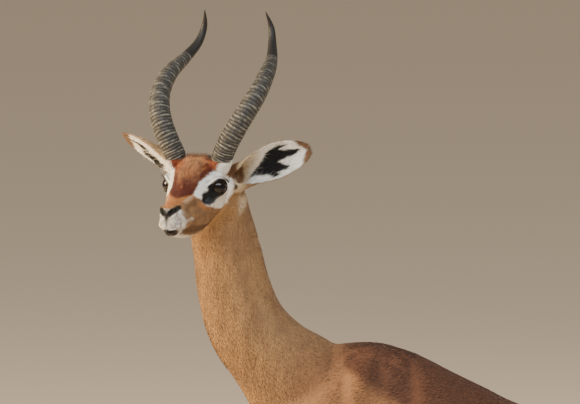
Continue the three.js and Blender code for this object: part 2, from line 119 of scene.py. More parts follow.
NECK = [
    (-308, -46, 1282, 28, 30, 28), (-304, -34, 1256, 42, 48, 44), (-299, -18, 1222, 48, 56, 54),
    (-291, -8, 1180, 50, 58, 60), (-279, 0, 1123, 52, 62, 64), (-266, 0, 1051, 56, 68, 69),
    (-241, 0, 988, 63, 71, 76), (-200, 0, 937, 67, 77, 83), (-150, 0, 890, 71, 94, 104),
    (-95, 0, 835, 74, 108, 100),
]
print("trunk and neck:", len(TORSO), "and", len(NECK), "rows")

# %% Rows of the legs and tail
FORELEG = [
    (-8, 34, 946, 14, 34, 34), (-36, 57, 895, 22, 52, 50), (-60, 73, 845, 27, 66, 70),
    (-80, 79, 795, 29, 84, 91), (-88, 81, 750, 30, 80, 89), (-91, 82, 705, 29, 64, 66),
    (-87, 82, 660, 26, 43, 43), (-84, 82, 620, 23, 31, 31), (-88, 82, 560, 19.5, 25, 25),
    (-92, 82, 490, 16, 20, 19), (-94, 82, 425, 15, 16.5, 17), (-94, 82, 385, 18.5, 20, 19),
    (-95, 82, 352, 18, 19, 18), (-95, 82, 310, 12.5, 14.5, 13), (-95, 82, 240, 11, 12.5, 12),
    (-95, 82, 165, 12, 14, 13), (-97, 82, 118, 17, 20, 17), (-108, 82, 82, 14.5, 16.5, 15),
    (-119, 82, 52, 17, 19, 18), (-126, 82, 24, 18, 20, 20),
]
HINDLEG = [
    (512, 46, 806, 24, 54, 56), (512, 57, 760, 36, 80, 82), (507, 65, 705, 39, 90, 90, 0.1),
    (493, 71, 650, 36, 86, 86, 0.2), (473, 75, 597, 31, 70, 70, 0.25), (458, 78, 550, 27, 50, 50, 0.3),
    (470, 80, 503, 24, 42, 38, 0.4), (505, 80, 455, 21, 34, 28, 0.5), (545, 80, 407, 17, 31, 22, 0.55),
    (578, 80, 367, 15.5, 30, 19, 0.45), (598, 80, 332, 16, 23, 18, 0.2), (599, 80, 292, 13.5, 17, 15),
    (594, 80, 245, 11.5, 13.5, 13), (587, 80, 180, 11.5, 13.5, 12.5), (581, 80, 138, 13.5, 16, 13.5),
    (576, 80, 106, 17, 20, 17), (564, 80, 76, 14.5, 16, 14.5), (554, 80, 50, 17, 18.5, 18),
    (547, 80, 24, 18, 20, 20),
]
TAIL = [
    (578, 0, 786, 17, 17, 17), (608, 0, 770, 13, 12, 13), (626, 0, 735, 10, 10, 10),
    (633, 0, 685, 8, 8, 8), (634, 0, 635, 6.5, 6.5, 6.5), (633, 0, 600, 5, 5, 5),
]
FORE_STEP = {LEFT: 8, RIGHT: -34}
HIND_STEP = {LEFT: -22, RIGHT: 52}
STEP_TOP = 640  # below this height a leg slants towards where its foot is set
print("legs and tail:", len(FORELEG), len(HINDLEG), len(TAIL), "rows")

# %% [markdown]
# ## Drawing a body through rows
# A limb could be a stretched sphere, but its outline would be plain. Here a curve runs smoothly
# through the rows, a circle is set at each step of the curve and pressed into that row's oval, and
# each circle is bridged to the next. The first and last circles shrink, which rounds the ends.

# %% A loft from circles
def smooth_rows(rows, steps):
    table = np.array([tuple(row) + (0,) * (8 - len(row)) for row in rows], float)
    table = np.vstack([2 * table[0] - table[1], table, 2 * table[-1] - table[-2]])
    spot = np.linspace(0, len(rows) - 1, steps + 1)
    i = np.minimum(spot.astype(int), len(rows) - 2)
    t = (spot - i)[:, None]
    a, b, c, d = table[i], table[i + 1], table[i + 2], table[i + 3]
    return 0.5 * (2 * b + (c - a) * t + (2 * a - 5 * b + 4 * c - d) * t**2 + (3 * b - a - 3 * c + d) * t**3)


def end_size(t, share):
    return 1.0 if share == 0 or t >= share else math.sqrt(max(0.004, 1 - (1 - t / share) ** 2))


def loft(bm, rows, around=24, along=24, caps=(0.1, 0.1), rise=None):
    table = smooth_rows(rows, along)
    heading = np.gradient(table[:, :3], axis=0)
    rings = []
    for k, (row, way) in enumerate(zip(table, heading)):
        t = k / along
        size = end_size(t, caps[0]) * end_size(1 - t, caps[1])
        upward = Vector(rise) if rise else Vector(way).cross(Vector((0, 1, 0))).normalized()
        verts = bmesh.ops.create_circle(bm, segments=around, radius=1)["verts"]
        for v in verts:
            c, s = v.co.x, v.co.y
            narrow = (row[6] if s > 0 else row[7]) * s * s
            side = Vector((0, size * row[3] * c * (1 - narrow), 0))
            v.co = Vector(row[:3]) + side + upward * (size * s * (row[4] if s > 0 else row[5]))
        rings.append((verts, list({e for v in verts for e in v.link_edges})))
    for (_, before), (_, after) in zip(rings, rings[1:]):
        bmesh.ops.bridge_loops(bm, edges=before + after)
    for verts in (rings[0][0], rings[-1][0]):
        bmesh.ops.contextual_create(bm, geom=verts)
    return [v for verts, _ in rings for v in verts]


def leg_rows(rows, side, step):
    moved = []
    for x, y, z, *sizes in rows:
        moved.append((x + max(0, 1 - z / STEP_TOP) * step[side], side * y, z, *sizes))
    return moved


trial = bmesh.new()
loft(trial, TORSO, rise=(0, 0, 1))
print("a loft of the trunk has", len(trial.faces), "faces")
trial.free()

# %% [markdown]
# ## The head's rows
# These rows are in the head's own frame. The muzzle is narrow and blunt, the forehead broad, and
# the skull tapers to the nape. Rounded lumps are added for what shows through the skin: the eye in
# its socket, the brow, the wings of the nostrils, lips and chin, the root of each ear, and the
# bony base of each horn.

# %% Rows and lumps of the head
SKULL = [
    (-120, 0, -52, 12.5, 19, 20, -0.5, 0), (-113, 0, -51, 16.5, 25.5, 25, -0.4, 0.1),
    (-100, 0, -49, 20, 28.5, 31, -0.25, 0.1), (-80, 0, -46, 25, 31.5, 41, -0.2, 0.15),
    (-60, 0, -40, 31, 33.5, 51, -0.25, 0.2), (-40, 0, -30, 37, 39.5, 64, -0.15, 0.28),
    (-20, 0, -18, 43, 43.5, 76, -0.04, 0.36), (0, 0, -9, 47.5, 49, 84, -0.04, 0.42),
    (20, 0, -8, 49, 54, 82, -0.1, 0.43), (42, 0, -8, 48, 53, 74, -0.06, 0.38),
    (66, 0, -6, 43, 43, 57, 0, 0.28), (88, 0, -8, 34, 30, 38, 0, 0.1), (103, 0, -10, 20, 17, 20),
]
LUMPS = [  # centre, radii and turn about z of rounded forms on one side of the head
    ((13, 36.5, -5.5), (35, 16, 26), -0.16),  # eye socket
    ((68, 34, -7), (17, 24, 27), 0),  # root of the ear
    ((-108, 11.5, -33), (9, 7, 8.5), 0.3),  # wing of the nostril
    ((-103, 11, -59), (13, 11, 12), 0.2),  # upper lip
    ((-98, 4, -73), (13, 8, 8), 0),  # chin
    ((24, 9, 33), (20, 27, 17), 0),  # forehead between the horns
]
HORN_BASE = [
    (32, 30, 4, 18, 20, 18), (29, 36, 18, 21, 22, 21), (28, 40, 29, 21.8, 22.8, 21.8),
    (27.5, 43, 38, 21.4, 22.4, 21.4), (27.5, 45, 43.5, 20, 21, 20),
]
BROW = [(-18, 40.5, 4, 5, 5, 5), (-6, 49, 9.5, 6, 6, 6), (12, 51.5, 10.5, 6, 6, 6), (28, 47, 4, 5, 5, 5)]
print("head:", len(SKULL), "rows and", len(LUMPS), "lumps a side")


def lump(bm, centre, radii, turn, side):
    made = bmesh.ops.create_uvsphere(bm, u_segments=24, v_segments=14, radius=1)["verts"]
    bmesh.ops.scale(bm, vec=radii, verts=made)
    bmesh.ops.rotate(bm, matrix=Matrix.Rotation(side * turn, 3, "Z"), verts=made)
    bmesh.ops.translate(bm, vec=on_side(centre, side), verts=made)


# %% [markdown]
# ## The ears
# An ear is a leaf of skin, rolled into a funnel at its root and open towards its tip. It starts as
# a flat grid, each point of which is bent round a tube that opens from root to tip, and is then
# given thickness. The left ear faces the front, the right one is turned outwards and down.

# %% The leaf of an ear
EARS = {
    LEFT: dict(root=(60, -40, -6), tip=(106, -184, 57), opens=(-0.95, -0.28, 0.05)),
    RIGHT: dict(root=(60, 40, -6), tip=(104, 184, 65), opens=(-0.62, 0.45, -0.64)),
}
EAR_HALF_WIDTH = (23, 22.5, 21, 22, 26.5, 30, 31, 29.5, 26, 20, 8)
EAR_ROLL = (168, 162, 142, 106, 80, 64, 55, 47, 40, 32, 20)
EAR_ROOT_DEPTH = 0.55
EAR_THICKNESS = 4.6  # before the surface is drawn in
EAR_BOW = {LEFT: 5, RIGHT: 2}  # how far its middle is arched upwards


def ear_axes(side):
    ear = EARS[side]
    root = Vector(ear["root"])
    along = Vector(ear["tip"]) - root
    opens = Vector(ear["opens"])
    opens = (opens - opens.project(along)).normalized()
    return root, along, along.normalized().cross(opens), opens


def ear_point(side, across, t):
    root, along, sideways, opens = ear_axes(side)
    steps = np.linspace(0, 1, len(EAR_ROLL))
    roll = math.radians(np.interp(t, steps, EAR_ROLL))
    bend = np.interp(t, steps, EAR_HALF_WIDTH) / math.sin(min(roll, math.pi / 2))
    depth = EAR_ROOT_DEPTH + (1 - EAR_ROOT_DEPTH) * min(1, 2 * t)
    turn = across * roll
    line = root + along * t + Vector((0, 0, EAR_BOW[side] * math.sin(math.pi * t)))
    return line + sideways * bend * math.sin(turn) + opens * depth * bend * (math.cos(roll) - math.cos(turn))


def ear_leaf(bm, side):
    grid = bmesh.ops.create_grid(bm, x_segments=26, y_segments=44, size=1)["verts"]
    for v in grid:
        v.co = ear_point(side, v.co.x, 0.497 * (v.co.y + 1))
    faces = list({f for v in grid for f in v.link_faces})
    bm.normal_update()
    bmesh.ops.solidify(bm, geom=faces, thickness=EAR_THICKNESS)


print("ear length:", round(ear_axes(LEFT)[1].length), "mm")

# %% [markdown]
# ## One skin over everything
# The lofts overlap. A voxel remesh melts overlapping bodies into one closed surface, with the cell
# size deciding how fine it is. The face needs cells of about 2 mm and the legs 4 mm, but the trunk
# is happy with 6 mm. So the three regions are melted apart, cut by level planes and stitched.

# %% Melting and cutting
NECK_CUT, LEG_CUT = 1150, 598  # heights of the planes between the three regions
STITCH = 2.5  # half of the gap that is left at a plane and bridged afterwards
SEAM_REACH = 14  # how far from a plane the skin is smoothed
TRUNK_CELL, LEG_CELL, HEAD_CELL = 6.3, 4.3, 2.17
FORE_DEW_CLAWS, HIND_DEW_CLAWS = (-78, 82), (596, 80)  # two small lumps behind each foot
DEW_CLAW_HEIGHT, DEW_CLAW_SIZE = 98, (8, 6, 11)


def as_mesh(bm, name):
    """A mesh of a closed body, with its normals outwards"""
    bmesh.ops.recalc_face_normals(bm, faces=bm.faces)
    mesh = bpy.data.meshes.new(name)
    bm.to_mesh(mesh)
    bm.free()
    return mesh


def smoothed(bm, verts, times):
    for _ in range(times):
        bmesh.ops.smooth_vert(bm, verts=verts, factor=0.5, use_axis_x=True, use_axis_y=True, use_axis_z=True)


def melted(name, bm, cell, ease):
    mesh = as_mesh(bm, name)
    piece = bpy.data.objects.new(name, mesh)
    scene.collection.objects.link(piece)
    melt = piece.modifiers.new("melt", "REMESH")
    melt.mode, melt.voxel_size = "VOXEL", cell
    soften = piece.modifiers.new("ease", "SMOOTH")
    soften.factor, soften.iterations = 0.5, ease
    graph = bpy.context.evaluated_depsgraph_get()
    result = bmesh.new()
    result.from_mesh(piece.evaluated_get(graph).to_mesh())
    bpy.data.objects.remove(piece)
    bpy.data.meshes.remove(mesh)
    return result


def kept_between(bm, low_z=None, high_z=None):
    for z, outer in ((high_z, True), (low_z, False)):
        if z is None:
            continue
        everything = bm.verts[:] + bm.edges[:] + bm.faces[:]
        bmesh.ops.bisect_plane(bm, geom=everything, plane_co=(0, 0, z), plane_no=(0, 0, 1),
                               dist=0.6, clear_outer=outer, clear_inner=not outer)
    return bm


def four_legs(bm):
    for side in (LEFT, RIGHT):
        loft(bm, leg_rows(FORELEG, side, FORE_STEP), around=24, along=52, caps=(0.06, 0), rise=(1, 0, 0))
        loft(bm, leg_rows(HINDLEG, side, HIND_STEP), around=24, along=52, caps=(0.06, 0))
        for (x, y), step in ((FORE_DEW_CLAWS, FORE_STEP), (HIND_DEW_CLAWS, HIND_STEP)):
            for out in (-9, 9):
                place = (x + (1 - DEW_CLAW_HEIGHT / STEP_TOP) * step[side], y + out, DEW_CLAW_HEIGHT)
                lump(bm, place, DEW_CLAW_SIZE, 0, side)


def trunk(bm):
    loft(bm, TORSO, around=40, along=44, caps=(0.09, 0.08), rise=(0, 0, 1))
    loft(bm, NECK, around=40, along=40, caps=(0.1, 0))
    loft(bm, TAIL, around=14, along=20, caps=(0, 0.1))
    four_legs(bm)


def head_forms(bm):
    start = len(bm.verts)
    loft(bm, SKULL, around=40, along=40, caps=(0.05, 0.12), rise=(0, 0, 1))
    for side in (LEFT, RIGHT):
        for centre, radii, turn in LUMPS:
            lump(bm, centre, radii, turn, side)
        lump(bm, EYE, (EYE_RADIUS + 1.2,) * 3, 0, side)
        for rows, end in ((HORN_BASE, 0.06), (BROW, 0.3)):
            loft(bm, [(x, side * y, z, *r) for x, y, z, *r in rows], around=20, along=16, caps=(0.3, end))
        ear_leaf(bm, side)
    bm.verts.ensure_lookup_table()
    bmesh.ops.transform(bm, matrix=HEAD, verts=bm.verts[start:])
    loft(bm, NECK[:7], around=40, along=30, caps=(0.1, 0))


regions = [bmesh.new() for _ in range(3)]
trunk(regions[0])
four_legs(regions[1])
head_forms(regions[2])
body = kept_between(melted("trunk", regions[0], TRUNK_CELL, 6), LEG_CUT + STITCH, NECK_CUT - STITCH)
legs = kept_between(melted("legs", regions[1], LEG_CELL, 3), None, LEG_CUT - STITCH)
head = kept_between(melted("head", regions[2], HEAD_CELL, 3), NECK_CUT + STITCH, None)
print("faces of trunk, legs and head:", len(body.faces), len(legs.faces), len(head.faces))

# %% [markdown]
# Every cut leaves an open rim. Rims that face each other are bridged with a strip of new faces, and
# the points near it are smoothed, so the three regions become one closed skin.

# %% Stitch the regions together
def rims(bm):
    loose = {e for e in bm.edges if e.is_boundary}
    found = []
    while loose:
        rim, front = [], [loose.pop()]
        while front:
            edge = front.pop()
            rim.append(edge)
            for other in {e for v in edge.verts for e in v.link_edges} & loose:
                loose.discard(other)
                front.append(other)
        found.append(rim)
    return found


def rim_middle(rim):
    points = [v.co for e in rim for v in e.verts]
    return sum(points, Vector()) / len(points)


skin_bm = bmesh.new()
for region in (body, legs, head):
    part = bpy.data.meshes.new("region")
    region.to_mesh(part)
    region.free()
    skin_bm.from_mesh(part)
    bpy.data.meshes.remove(part)
open_rims = sorted(rims(skin_bm), key=lambda rim: rim_middle(rim).z)
while open_rims:
    rim = open_rims.pop(0)
    mate = min(open_rims, key=lambda other: (rim_middle(other) - rim_middle(rim)).length)
    open_rims.remove(mate)
    bmesh.ops.bridge_loops(skin_bm, edges=rim + mate)
near_seams = [v for v in skin_bm.verts if min(abs(v.co.z - NECK_CUT), abs(v.co.z - LEG_CUT)) < SEAM_REACH]
smoothed(skin_bm, near_seams, 10)
bmesh.ops.recalc_face_normals(skin_bm, faces=skin_bm.faces)
print("skin:", len(skin_bm.faces), "faces,", len(rims(skin_bm)), "open rims")

# %% [markdown]
# ## Sculpting the head
# The melted skin is soft everywhere, but a living head has crisp places. The eye is a real opening:
# faces are deleted, the rim is laid on an almond curve, and the rim is extruded inwards as the edge
# of the lids. Everything else is pushed in or out along the normals, by how near a point lies to
# a drawn line or lump. That keeps the skin closed and needs no extra faces.

# %% Open the eyelids
LID_RADIUS = EYE_RADIUS + 1.7  # the lids' outer skin rests just off the eyeball
EYE_REACH = 30  # the opening lies this near to the eye's centre
EYE_WIDE = math.radians(60)  # half of the opening, as angles seen from the eye's centre
EYE_UP, EYE_DOWN = math.radians(40), math.radians(36)
EYE_TILT = math.radians(11)  # the rear corner is higher than the front one
GAZE = Vector((-0.57, 0.82, 0.01)).normalized()


def gaze_axes(side):
    ahead = on_side(GAZE, side)
    back = Vector((GAZE.y, side * -GAZE.x, 0)).normalized()
    up = (Vector((0, 0, 1)) - ahead * ahead.z).normalized()
    c, s = math.cos(EYE_TILT), math.sin(EYE_TILT)
    return ahead, back * c + up * s, up * c - back * s


def eye_angles(points, side):
    """How far each point lies to the rear and up from where the eye looks, as angles, and its distance"""
    ahead, back, up = (np.array(axis) for axis in gaze_axes(side))
    out = points - np.array(on_side(EYE, side))
    far = np.linalg.norm(out, axis=1)
    return np.arctan2(out @ back, out @ ahead), np.arcsin(np.clip(out @ up / far, -1, 1)), far


ALMOND = 1.7  # 2 would be an oval, and less draws the corners out to points


def opening_share(rear, high):
    """1 on the edge of the lids, less inside the opening"""
    across, up = np.abs(rear) / EYE_WIDE, np.abs(high) / np.where(high > 0, EYE_UP, EYE_DOWN)
    return (across**ALMOND + up**ALMOND) ** (1 / ALMOND)


def on_lid(side, angle, radius, share=1.0):
    ahead, back, up = gaze_axes(side)
    share /= (abs(math.cos(angle)) ** ALMOND + abs(math.sin(angle)) ** ALMOND) ** (1 / ALMOND)
    rear = share * EYE_WIDE * math.cos(angle)
    high = share * (EYE_UP if math.sin(angle) > 0 else EYE_DOWN) * math.sin(angle)
    flat = ahead * math.cos(rear) + back * math.sin(rear)
    return on_side(EYE, side) + (flat * math.cos(high) + up * math.sin(high)) * radius


to_head = HEAD.inverted()


def lid_turn(v, side):
    """At which angle round the opening a point lies"""
    rear, high, _ = eye_angles(np.array([to_head @ v.co]), side)
    return math.atan2(high[0] / (EYE_UP if high[0] > 0 else EYE_DOWN), rear[0] / EYE_WIDE)


for side in (LEFT, RIGHT):
    centre = HEAD @ on_side(EYE, side)
    close = [f for f in skin_bm.faces if (f.calc_center_median() - centre).length < EYE_REACH]
    middles = np.array([to_head @ f.calc_center_median() for f in close])
    rear, high, _ = eye_angles(middles, side)
    inside = [f for f, share in zip(close, opening_share(rear, high)) if share < 0.97]
    bmesh.ops.delete(skin_bm, geom=inside, context="FACES")
    rim = max(rims(skin_bm), key=len)
    rim_verts = list({v for e in rim for v in e.verts})
    for v in rim_verts:
        v.co = HEAD @ on_lid(side, lid_turn(v, side), LID_RADIUS)
    around = {o for v in rim_verts for e in v.link_edges for o in e.verts}
    around = {o for v in around for e in v.link_edges for o in e.verts} - set(rim_verts)
    smoothed(skin_bm, list(around), 3)
    for radius, share in ((EYE_RADIUS - 0.5, 0.97), (EYE_RADIUS - 4, 0.9)):
        made = bmesh.ops.extrude_edge_only(skin_bm, edges=rim)["geom"]
        rim = [g for g in made if isinstance(g, bmesh.types.BMEdge) and g.is_boundary]
        for v in {v for e in rim for v in e.verts}:
            v.co = HEAD @ on_lid(side, lid_turn(v, side), radius, share)
    bmesh.ops.contextual_create(skin_bm, geom=rim)
bmesh.ops.triangulate(skin_bm, faces=[f for f in skin_bm.faces if len(f.verts) > 4])
bmesh.ops.recalc_face_normals(skin_bm, faces=skin_bm.faces)
print("open rims left at the eyes:", len(rims(skin_bm)))

# %% [markdown]
# The sculpting works on all points at once with numpy arrays. A groove is a line with a width and
# a depth. A swelling is a point with three reaches. Both fade out smoothly.

# %% Push grooves in and muscles out
skin_mesh = as_mesh(skin_bm, "skin")


def read(mesh, what, name, width=3):
    values = np.empty(len(getattr(mesh, what)) * width, np.float32)
    getattr(mesh, what).foreach_get(name, values)
    return values.reshape(-1, width).astype(float)


def in_head(points):
    return points @ HEAD_BACK[:3, :3].T + HEAD_BACK[:3, 3]


def line_distance(points, line):
    """Distance to a chain of points, and how far along it the nearest spot is, from 0 to 1"""
    line = np.array(line, float)
    best, where = np.full(len(points), 1e9), np.zeros(len(points))
    for k, (a, b) in enumerate(zip(line, line[1:])):
        share = np.clip((points - a) @ (b - a) / ((b - a) @ (b - a)), 0, 1)
        far = np.linalg.norm(points - a - share[:, None] * (b - a), axis=1)
        near = far < best
        best[near], where[near] = far[near], (k + share[near]) / (len(line) - 1)
    return best, where


def one_sided(points):
    """Points of both sides laid on the right side"""
    return points * (1, 0, 1) + np.abs(points) * (0, 1, 0)


def fade(distance, reach):
    t = np.clip(1 - distance / reach, 0, 1)
    return t * t * (3 - 2 * t)


GROOVES = [  # on the head: line, width, depth
    ([(-119, 5.5, -38.5), (-113, 10.5, -34), (-103, 15, -30), (-94, 17.5, -28)], 4.8, 5),  # nostril
    ([(-120, 0, -40), (-119, 0, -52), (-117, 0, -70)], 3, 1.6),  # cleft of the upper lip
    ([(-117, 0, -71.5), (-112, 11, -72), (-102, 17, -72), (-90, 19, -71.5), (-80, 21.5, -69.5),
      (-73, 24.5, -62), (-67, 26, -57)], 4, 3.4),  # mouth
    ([(-16, 45, -12), (-27, 42, -20), (-36, 39, -27)], 5, 2.6),  # slit of the scent gland
    ([(-60, 24, -72), (-20, 27, -80), (20, 30, -84)], 9, 1.5),  # edge of the jaw
]
SWELLINGS = [  # on the head: centre, reach, height
    ((42, 44, -46), (34, 30, 26), 3.2),  # jaw muscle
    ((-20, 40, -36), (44, 30, 9), 1.6),  # cheekbone
    ((54, 50, 6), (17, 20, 22), -3),  # temple
    ((-70, 26, -32), (24, 20, 14), -1.6),  # hollow before the cheek
    ((-86, 24, -52), (18, 14, 10), 1.2),  # upper lip
    ((-100, 6, -80), (16, 14, 10), 1.0),  # chin
    ((-52, 0, 4), (44, 14, 16), 1.4),  # bridge of the nose
    ((-4, 0, 34), (30, 16, 16), -1.2),  # dip between the brows
]
LID_FOLDS = [  # round an eye: height, place and width as shares of the opening, more than 0 if above it
    (-1.7, 1.52, 0.15, 4), (0.8, 1.75, 0.16, 4), (-1.2, 1.95, 0.12, 4), (-1.1, 1.62, 0.2, -3),
    (0.9, 2.05, 0.2, -3),
]
RIDGES = [  # on the body: line, width, height
    ([(-58, 38, 940), (-30, 28, 950), (0, 25, 953), (26, 29, 947), (50, 38, 934)], 9, 3.4),  # blade's top
    ([(-48, 46, 929), (-16, 40, 936), (16, 40, 934), (44, 50, 920)], 12, -1.3),  # hollow under it
    ([(62, 46, 926), (70, 70, 895), (76, 88, 862)], 24, -2),  # rear edge of the blade
    ([(-60, 56, 930), (-52, 80, 895), (-56, 96, 850)], 24, -1.8),  # front edge of the blade
]
MUSCLES = [  # on the body: centre, reach, height
    ((-6, 30, 946), (52, 26, 17), 6), ((-18, 76, 893), (40, 70, 52), 7),  # shoulder blade
    ((62, 80, 880), (40, 90, 90), -3.5), ((112, 80, 872), (60, 90, 70), 3),  # behind the shoulder
    ((-62, 86, 905), (40, 60, 80), -3), ((-212, 60, 1000), (30, 60, 110), -2.5),  # before it, and throat
    ((-60, 100, 800), (50, 60, 60), 6), ((20, 108, 760), (34, 60, 50), -4),  # upper arm and elbow
    ((505, 100, 720), (70, 60, 80), 5), ((430, 96, 700), (34, 60, 70), -6),  # thigh and flank
    ((440, 60, 815), (36, 40, 30), 5), ((330, 60, 800), (60, 60, 26), -3),  # hip bone and loin
]


def sculpted(points, normals):
    on_head = in_head(points)
    flat = one_sided(on_head)
    push = np.zeros(len(points))
    for line, width, depth in GROOVES:
        far, where = line_distance(flat, line)
        push -= depth * fade(far, width) * (0.55 + 0.45 * np.sin(np.pi * np.clip(where, 0, 1)))
    for centre, reach, height in SWELLINGS:
        push += height * fade(np.linalg.norm((flat - centre) / reach, axis=1), 1)
    for side in (LEFT, RIGHT):
        rear, high, far = eye_angles(on_head, side)
        share, near = opening_share(rear, high), fade(far - EYE_RADIUS, 14)
        push += 0.9 * near * fade(np.abs(share - 1.12), 0.16) * (np.abs(high) > 0.02)
        for height, middle, width, above in LID_FOLDS:
            push += height * near * fade(np.abs(share - middle), width) * np.clip(high * above, 0, 1)
    push *= (np.linalg.norm(on_head * (1, 0.5, 1), axis=1) < 150) * (points[:, 2] > NECK_CUT)
    both = one_sided(points)
    for line, width, height in RIDGES:
        push += height * fade(line_distance(both, line)[0], width)
    for centre, reach, height in MUSCLES:
        push += height * fade(np.linalg.norm((both - centre) / reach, axis=1), 1) * (points[:, 2] < 1140)
    return points + normals * push[:, None]


COAT_DEPTH = 1.3  # the skin lies this far inside the solids, and the tips of the coat reach their surface
points = read(skin_mesh, "vertices", "co")
normals = read(skin_mesh, "vertex_normals", "vector")
points = sculpted(points - normals * COAT_DEPTH, normals)
skin_mesh.vertices.foreach_set("co", points.astype(np.float32).ravel())
skin_mesh.update()
print("sculpted points:", len(points))

# %% [markdown]
# ## The markings
# The face carries a red-brown blaze, white rings round the eyes, a black scent gland and a white
# muzzle. They could be painted on an image, but here each is an outline on the head, unrolled like
# a label: how far forward a place is, and its turn from the top of the head (0) to the throat (180).
# The same function colours the skin and every tuft, so the two always agree.

# %% Colours and outlines of the markings
FAWN, FAWN_PALE, FAWN_DEEP = (0.59, 0.45, 0.30), (0.67, 0.50, 0.30), (0.46, 0.34, 0.24)
SADDLE, FLANK, WHITE = (0.35, 0.22, 0.15), (0.53, 0.37, 0.24), (0.93, 0.91, 0.87)
MAROON, RUFOUS, FOREHEAD = (0.32, 0.125, 0.06), (0.47, 0.20, 0.055), (0.60, 0.43, 0.29)
NOSE_TAN, CREAM, UMBER = (0.72, 0.46, 0.25), (0.78, 0.70, 0.58), (0.40, 0.27, 0.17)
CHEEK, DUSK, TEMPLE = (0.60, 0.47, 0.34), (0.42, 0.35, 0.28), (0.52, 0.38, 0.24)
# The dark of the chin's front under the mouth: the lower lip's own dark skin, with painted shadow under the
# upper lip
LIP_DARK_AND_SHADOW = (0.20, 0.13, 0.10)
BLACK, SLATE, GREY = (0.05, 0.045, 0.042), (0.19, 0.22, 0.26), (0.55, 0.52, 0.48)

# Each outline is a list of places: how far forward, and the turn from the top of the head in degrees
BLAZE = [(-44, 0), (-44, 42), (-22, 44), (-8, 40), (0, 38), (12, 37), (29, 38), (38, 40), (44, 43),
         (50, 48), (56, 48), (62, 44), (70, 32), (77, 16), (79, 0)]
RING_PATCH = [(-58, 46), (-40, 44), (-22, 42), (-15, 40.5), (-11, 38.5), (-8, 36), (0, 34.5), (11, 34),
              (29, 34.5), (36, 36.5), (42, 40), (48, 46), (52, 56), (50, 66), (44, 73), (40, 86), (30, 96),
              (14, 102), (-10, 110), (-31, 113), (-53, 111), (-59, 98), (-62, 82), (-63, 66), (-62, 54)]
GLAND = [(43, 79), (39, 67), (32, 61), (23, 57), (14, 54), (4, 58), (0, 66), (0, 76), (2, 86), (7, 93),
         (21, 96), (34, 92), (41, 85)]
# The slate patch inside the black gland is a painted sheen on its bare skin
GLAND_SHEEN = [(34, 82), (28, 75), (20, 76), (10, 82), (10, 90), (20, 92), (30, 89)]
SMUDGE = [(51, 66), (60, 66), (72, 80), (86, 98), (100, 124), (102, 138), (90, 140), (80, 122), (67, 102),
          (55, 84)]
SPECTACLE_TAN = [(46, 80), (52, 92), (38, 104), (12, 106), (10, 100), (34, 96)]
NOSE_SIDE = [(58, 52), (80, 58), (76, 72), (60, 66)]
LIP_CREAM = [(90, 100), (98, 126), (92, 140), (82, 118)]
MUZZLE_WHITE = [(92, 106), (102, 96), (112, 96), (120, 118), (130, 140), (130, 190), (84, 190), (84, 160),
                (76, 147), (86, 138), (95, 122)]
MUZZLE_GREY = [(96, 124), (122, 108), (122, 176), (84, 176), (90, 148)]
LIP_LINE = [(92, 146), (82, 138), (72, 130), (62, 126), (62, 133), (74, 139), (86, 150)]
JAW_STREAK = [(84, 160), (68, 146), (50, 146), (10, 152), (-40, 156), (-46, 164), (0, 166), (50, 162),
              (80, 170)]
CHIN_WHITE = [(96, 168), (60, 168), (30, 171), (-40, 172), (-60, 190), (96, 190)]
# Those in the ears hold the share of the ear's length and of its half width
EAR_BLACK = [(0.15, 0.54), (0.25, 0.27), (0.33, 0.03), (0.42, -0.28), (0.5, -0.6), (0.56, -0.7),
             (0.65, -0.8), (0.76, -0.72), (0.66, -0.54), (0.72, -0.38), (0.8, -0.34), (0.9, -0.27),
             (0.83, 0.02), (0.76, 0.09), (0.69, 0.05), (0.6, 0.13), (0.66, 0.46), (0.7, 0.6), (0.65, 0.74),
             (0.52, 0.62), (0.57, 0.86), (0.5, 0.9), (0.43, 0.66), (0.3, 0.5)]
UPPER_STREAK = [(0.93, 0.2), (0.86, 0.25), (0.8, 0.3), (0.76, 0.38), (0.71, 0.5), (0.68, 0.64),
                (0.74, 0.62), (0.78, 0.52), (0.84, 0.4), (0.9, 0.32)]
LOWER_STREAK = [(0.74, 0.76), (0.68, 0.72), (0.6, 0.78), (0.52, 0.84), (0.44, 0.91), (0.42, 1.04),
                (0.52, 0.99), (0.6, 0.94), (0.68, 0.88), (0.73, 0.86)]
EAR_DARK = {LEFT: [EAR_BLACK], RIGHT: [UPPER_STREAK, LOWER_STREAK]}
EAR_DARK_SPREAD = {LEFT: 0.3, RIGHT: 1.2}  # how far the black reaches past its outline
LEAF_LONG, LEAF_WIDE = 160, 26  # turns the shares in these outlines into millimetres
GRAIN_CELLS = 32
GRAIN = np.random.default_rng(7).random((GRAIN_CELLS,) * 3)


def grain(points, size):
    """Soft random values from 0 to 1 whose blobs are about as large as size"""
    at = points / size
    low = np.floor(at).astype(int)
    f = at - low
    f = f * f * (3 - 2 * f)
    total = np.zeros(len(points))
    for corner in np.ndindex(2, 2, 2):
        share = np.prod(np.where(corner, f, 1 - f), axis=1)
        i, j, k = ((low + corner) % GRAIN_CELLS).T
        total += share * GRAIN[i, j, k]
    return total


def inside(u, v, outline):
    """How far each place (u, v) is inside a closed outline, less than 0 outside it"""
    far, within = np.full(len(u), 1e9), np.zeros(len(u), bool)
    for (au, av), (bu, bv) in zip(outline, outline[1:] + outline[:1]):
        du, dv = bu - au, bv - av
        share = np.clip(((u - au) * du + (v - av) * dv) / (du * du + dv * dv), 0, 1)
        far = np.minimum(far, np.hypot(u - au - share * du, v - av - share * dv))
        if dv:
            within ^= ((av > v) != (bv > v)) & (u < au + (v - av) / dv * du)
    return np.where(within, far, -far)


def step(value, soft):
    t = np.clip(0.5 + value / (2 * soft), 0, 1)
    return (t * t * (3 - 2 * t))[:, None]


def linear(colour):
    c = np.array(colour, float)
    return np.where(c < 0.04045, c / 12.92, ((c + 0.055) / 1.055) ** 2.4)


def mix(colour, other, share):
    return colour * (1 - share) + linear(other) * share


MIDDLE_X = 200  # between the fore and the hind legs
KNEE_Z = 384


